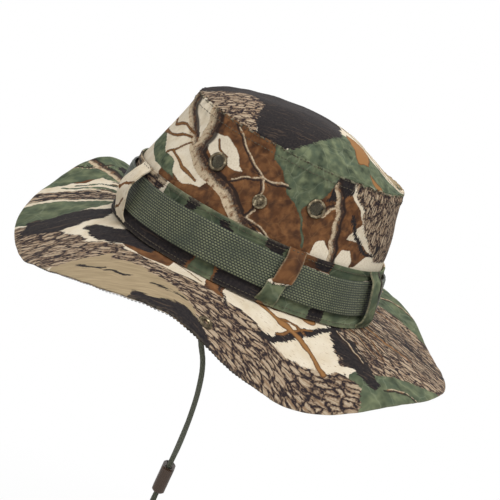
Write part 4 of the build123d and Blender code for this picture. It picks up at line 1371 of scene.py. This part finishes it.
# name, slot, material, first and last turn, lowest and highest place, outside to the crown cloth's
# outside, thickness and the nodes that it stands for
INNER = [
    ("sweatband_tape", "lining_tape", lining_tape, 0, 2 * pi, 0.0005, 0.036, 0.0015, 0.001, "sweatband"),
    ("top_seam_bias_tape", "lining_tape", lining_tape, 0, 2 * pi, 0.0930, 0.1017, 0.0015, 0.0006,
     "top_seam_tape"),
    ("seam_bias_tape_front", "lining_tape", lining_tape, -0.055, 0.055, 0.037, 0.092, 0.0015, 0.0006,
     "seam_tape_front"),
    ("seam_bias_tape_rear", "lining_tape", lining_tape, pi - 0.055, pi + 0.055, 0.037, 0.092, 0.0015, 0.0006,
     "seam_tape_rear"),
    ("size_label_cloth", "label_cloth", label_cloth, pi - 0.152, pi + 0.152, 0.012, 0.028, 0.0028, 0.0006,
     "size_label"),
]
INNER_CELL = 0.0022
ROUND_REACH, END_REACH = 0.0905, 0.084
for name, slot_name, material, first, last, low, high, inside, thick, node in INNER:
    whole = last - first > 6
    length = (last - first) * (ROUND_REACH if whole else END_REACH)

    def inner_shape(across, up, first=first, last=last, low=low, high=high, inside=inside, whole=whole):
        turn = mix(first, last, across)
        height = mix(low, high, up)
        base = crown_wall(turn, height, 0)
        folds = crown_folds(base, height)
        rolled = 0.0003 * (ease(0.06, 0.0, up) + ease(0.94, 1.0, up))
        return crown_wall(turn, height, folds - inside - rolled - 0.0001)

    piece, flat = cloth(name, length, high - low, INNER_CELL, inner_shape, flip=True)
    if whole:
        close_ring(piece)
    thicken(piece, thick)
    dress(piece, material, "crown", slot_name, node)


def inner_row(height, inside, first=0.0, last=2 * pi, count=420):
    turn = np.linspace(first, last, count)
    height = np.full(count, height)
    base = crown_wall(turn, height, 0)
    folds = crown_folds(base, height)
    points = crown_wall(turn, height, folds - inside)
    return points, crown_wall(turn, height, folds - inside - 0.001) - points


stitched("sweatband_stitching", [inner_row(0.0028, 0.0030), inner_row(0.0338, 0.0030)])
stitched("size_label_stitching",
         [inner_row(place, 0.0039, pi - 0.14, pi + 0.14, 40) for place in (0.0135, 0.0265)])
for side_name in SIDES:
    dress(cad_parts[f"cord_anchor_{side_name}"], lining_tape, None, "lining_tape")


# ---- Cord slider ---------------------------------------------------------------------------
# A small block of dark leather with two bores, one for each strand. It grips the cord and is
# pushed up to the chin.
slider_leather, tree, shader = finish_named("slider_leather", {"Roughness": 0.5, "Coat Weight": 0.1})
place = add(tree, "ShaderNodeTexCoord").outputs["Object"]
pores = add(tree, "ShaderNodeTexVoronoi", {"Vector": place, "Scale": 900.0}).outputs["Distance"]
shade = noisy(tree, place, 90.0, 4.0)
tree.links.new(blend_colours(tree, shade, dye(52, 38, 28), dye(88, 64, 44)), shader.inputs["Base Color"])
raise_relief(tree, shader, pores, 0.4, 0.0003)
dress(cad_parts["cord_slider"], slider_leather, None, "slider_leather")


# ---- Floor and light -----------------------------------------------------------------------
# A white floor and a white surround. The strongest of three soft lamps is above, and weaker ones
# stand to the near rear and on the far side. A faint fill comes from all round.
FLOOR_DROP = 0.003


def seen_plainly(tree):
    """1 for the camera, reflections and glass, and 0 for the light that a surface throws."""
    rays = add(tree, "ShaderNodeLightPath").outputs
    seen = maths(tree, "ADD", rays["Is Camera Ray"], rays["Is Glossy Ray"], clamp=True)
    return maths(tree, "ADD", seen, rays["Is Transmission Ray"], clamp=True)


bpy.ops.object.select_all(action="DESELECT")
bpy.ops.mesh.primitive_plane_add(size=12, location=(0, 0, cad_box[0].z - FLOOR_DROP))
floor = bpy.context.object
floor.name = "floor"
bpy.ops.object.transform_apply(location=True)
floor_white = bpy.data.materials.new("floor_white")
floor_white.use_nodes = True
tree = floor_white.node_tree
tree.nodes.clear()
seen = seen_plainly(tree)
matt = add(tree, "ShaderNodeBsdfDiffuse", {"Color": (0.82, 0.82, 0.82, 1)}).outputs[0]
white = add(tree, "ShaderNodeEmission", {"Color": (1, 1, 1, 1), "Strength": 1.0}).outputs[0]
spot = add(tree, "ShaderNodeTexCoord").outputs["Object"]
away = add(tree, "ShaderNodeVectorMath", {0: spot}, operation="LENGTH").outputs["Value"]
hidden = add(tree, "ShaderNodeMapRange", {"Value": away, "From Min": 0.12, "From Max": 0.42, "To Min": 0.88,
                                          "To Max": 1.0}).outputs[0]
lit = maths(tree, "MULTIPLY", seen, hidden)
shown = add(tree, "ShaderNodeMixShader", {0: lit, 1: matt, 2: white}).outputs[0]
below = add(tree, "ShaderNodeNewGeometry").outputs["Backfacing"]
clear = add(tree, "ShaderNodeBsdfTransparent").outputs[0]
add(tree, "ShaderNodeOutputMaterial", {"Surface": add(tree, "ShaderNodeMixShader", {
    0: below, 1: shown, 2: clear}).outputs[0]})
floor.data.materials.append(floor_white)

world = bpy.data.worlds.new("surround")
bpy.context.scene.world = world
world.use_nodes = True
tree = world.node_tree
tree.nodes.clear()
seen = seen_plainly(tree)
fill = add(tree, "ShaderNodeBackground", {"Color": (1, 1, 1, 1), "Strength": 0.38}).outputs[0]
backdrop = add(tree, "ShaderNodeBackground", {"Color": (1, 1, 1, 1), "Strength": 1.0}).outputs[0]
shown = add(tree, "ShaderNodeMixShader", {0: seen, 1: fill, 2: backdrop}).outputs[0]
add(tree, "ShaderNodeOutputWorld", {"Surface": shown})

LAMPS = {  # place, size and power
    "key_light": ((-0.6, -0.3, 1.6), 1.1, 21.0),
    "side_light": ((-1.3, 0.7, 0.8), 1.2, 4.0),
    "far_light": ((1.2, 0.3, 1.1), 1.0, 6.0),
}
for name, (place, size, power) in LAMPS.items():
    lamp_data = bpy.data.lights.new(name, "AREA")
    lamp_data.size = size
    lamp_data.energy = power
    lamp = bpy.data.objects.new(name, lamp_data)
    lamp.location = place
    lamp.rotation_euler = (-Vector(place)).to_track_quat("-Z", "Y").to_euler()
    bpy.context.scene.collection.objects.link(lamp)

bpy.context.scene.view_settings.view_transform = "Standard"
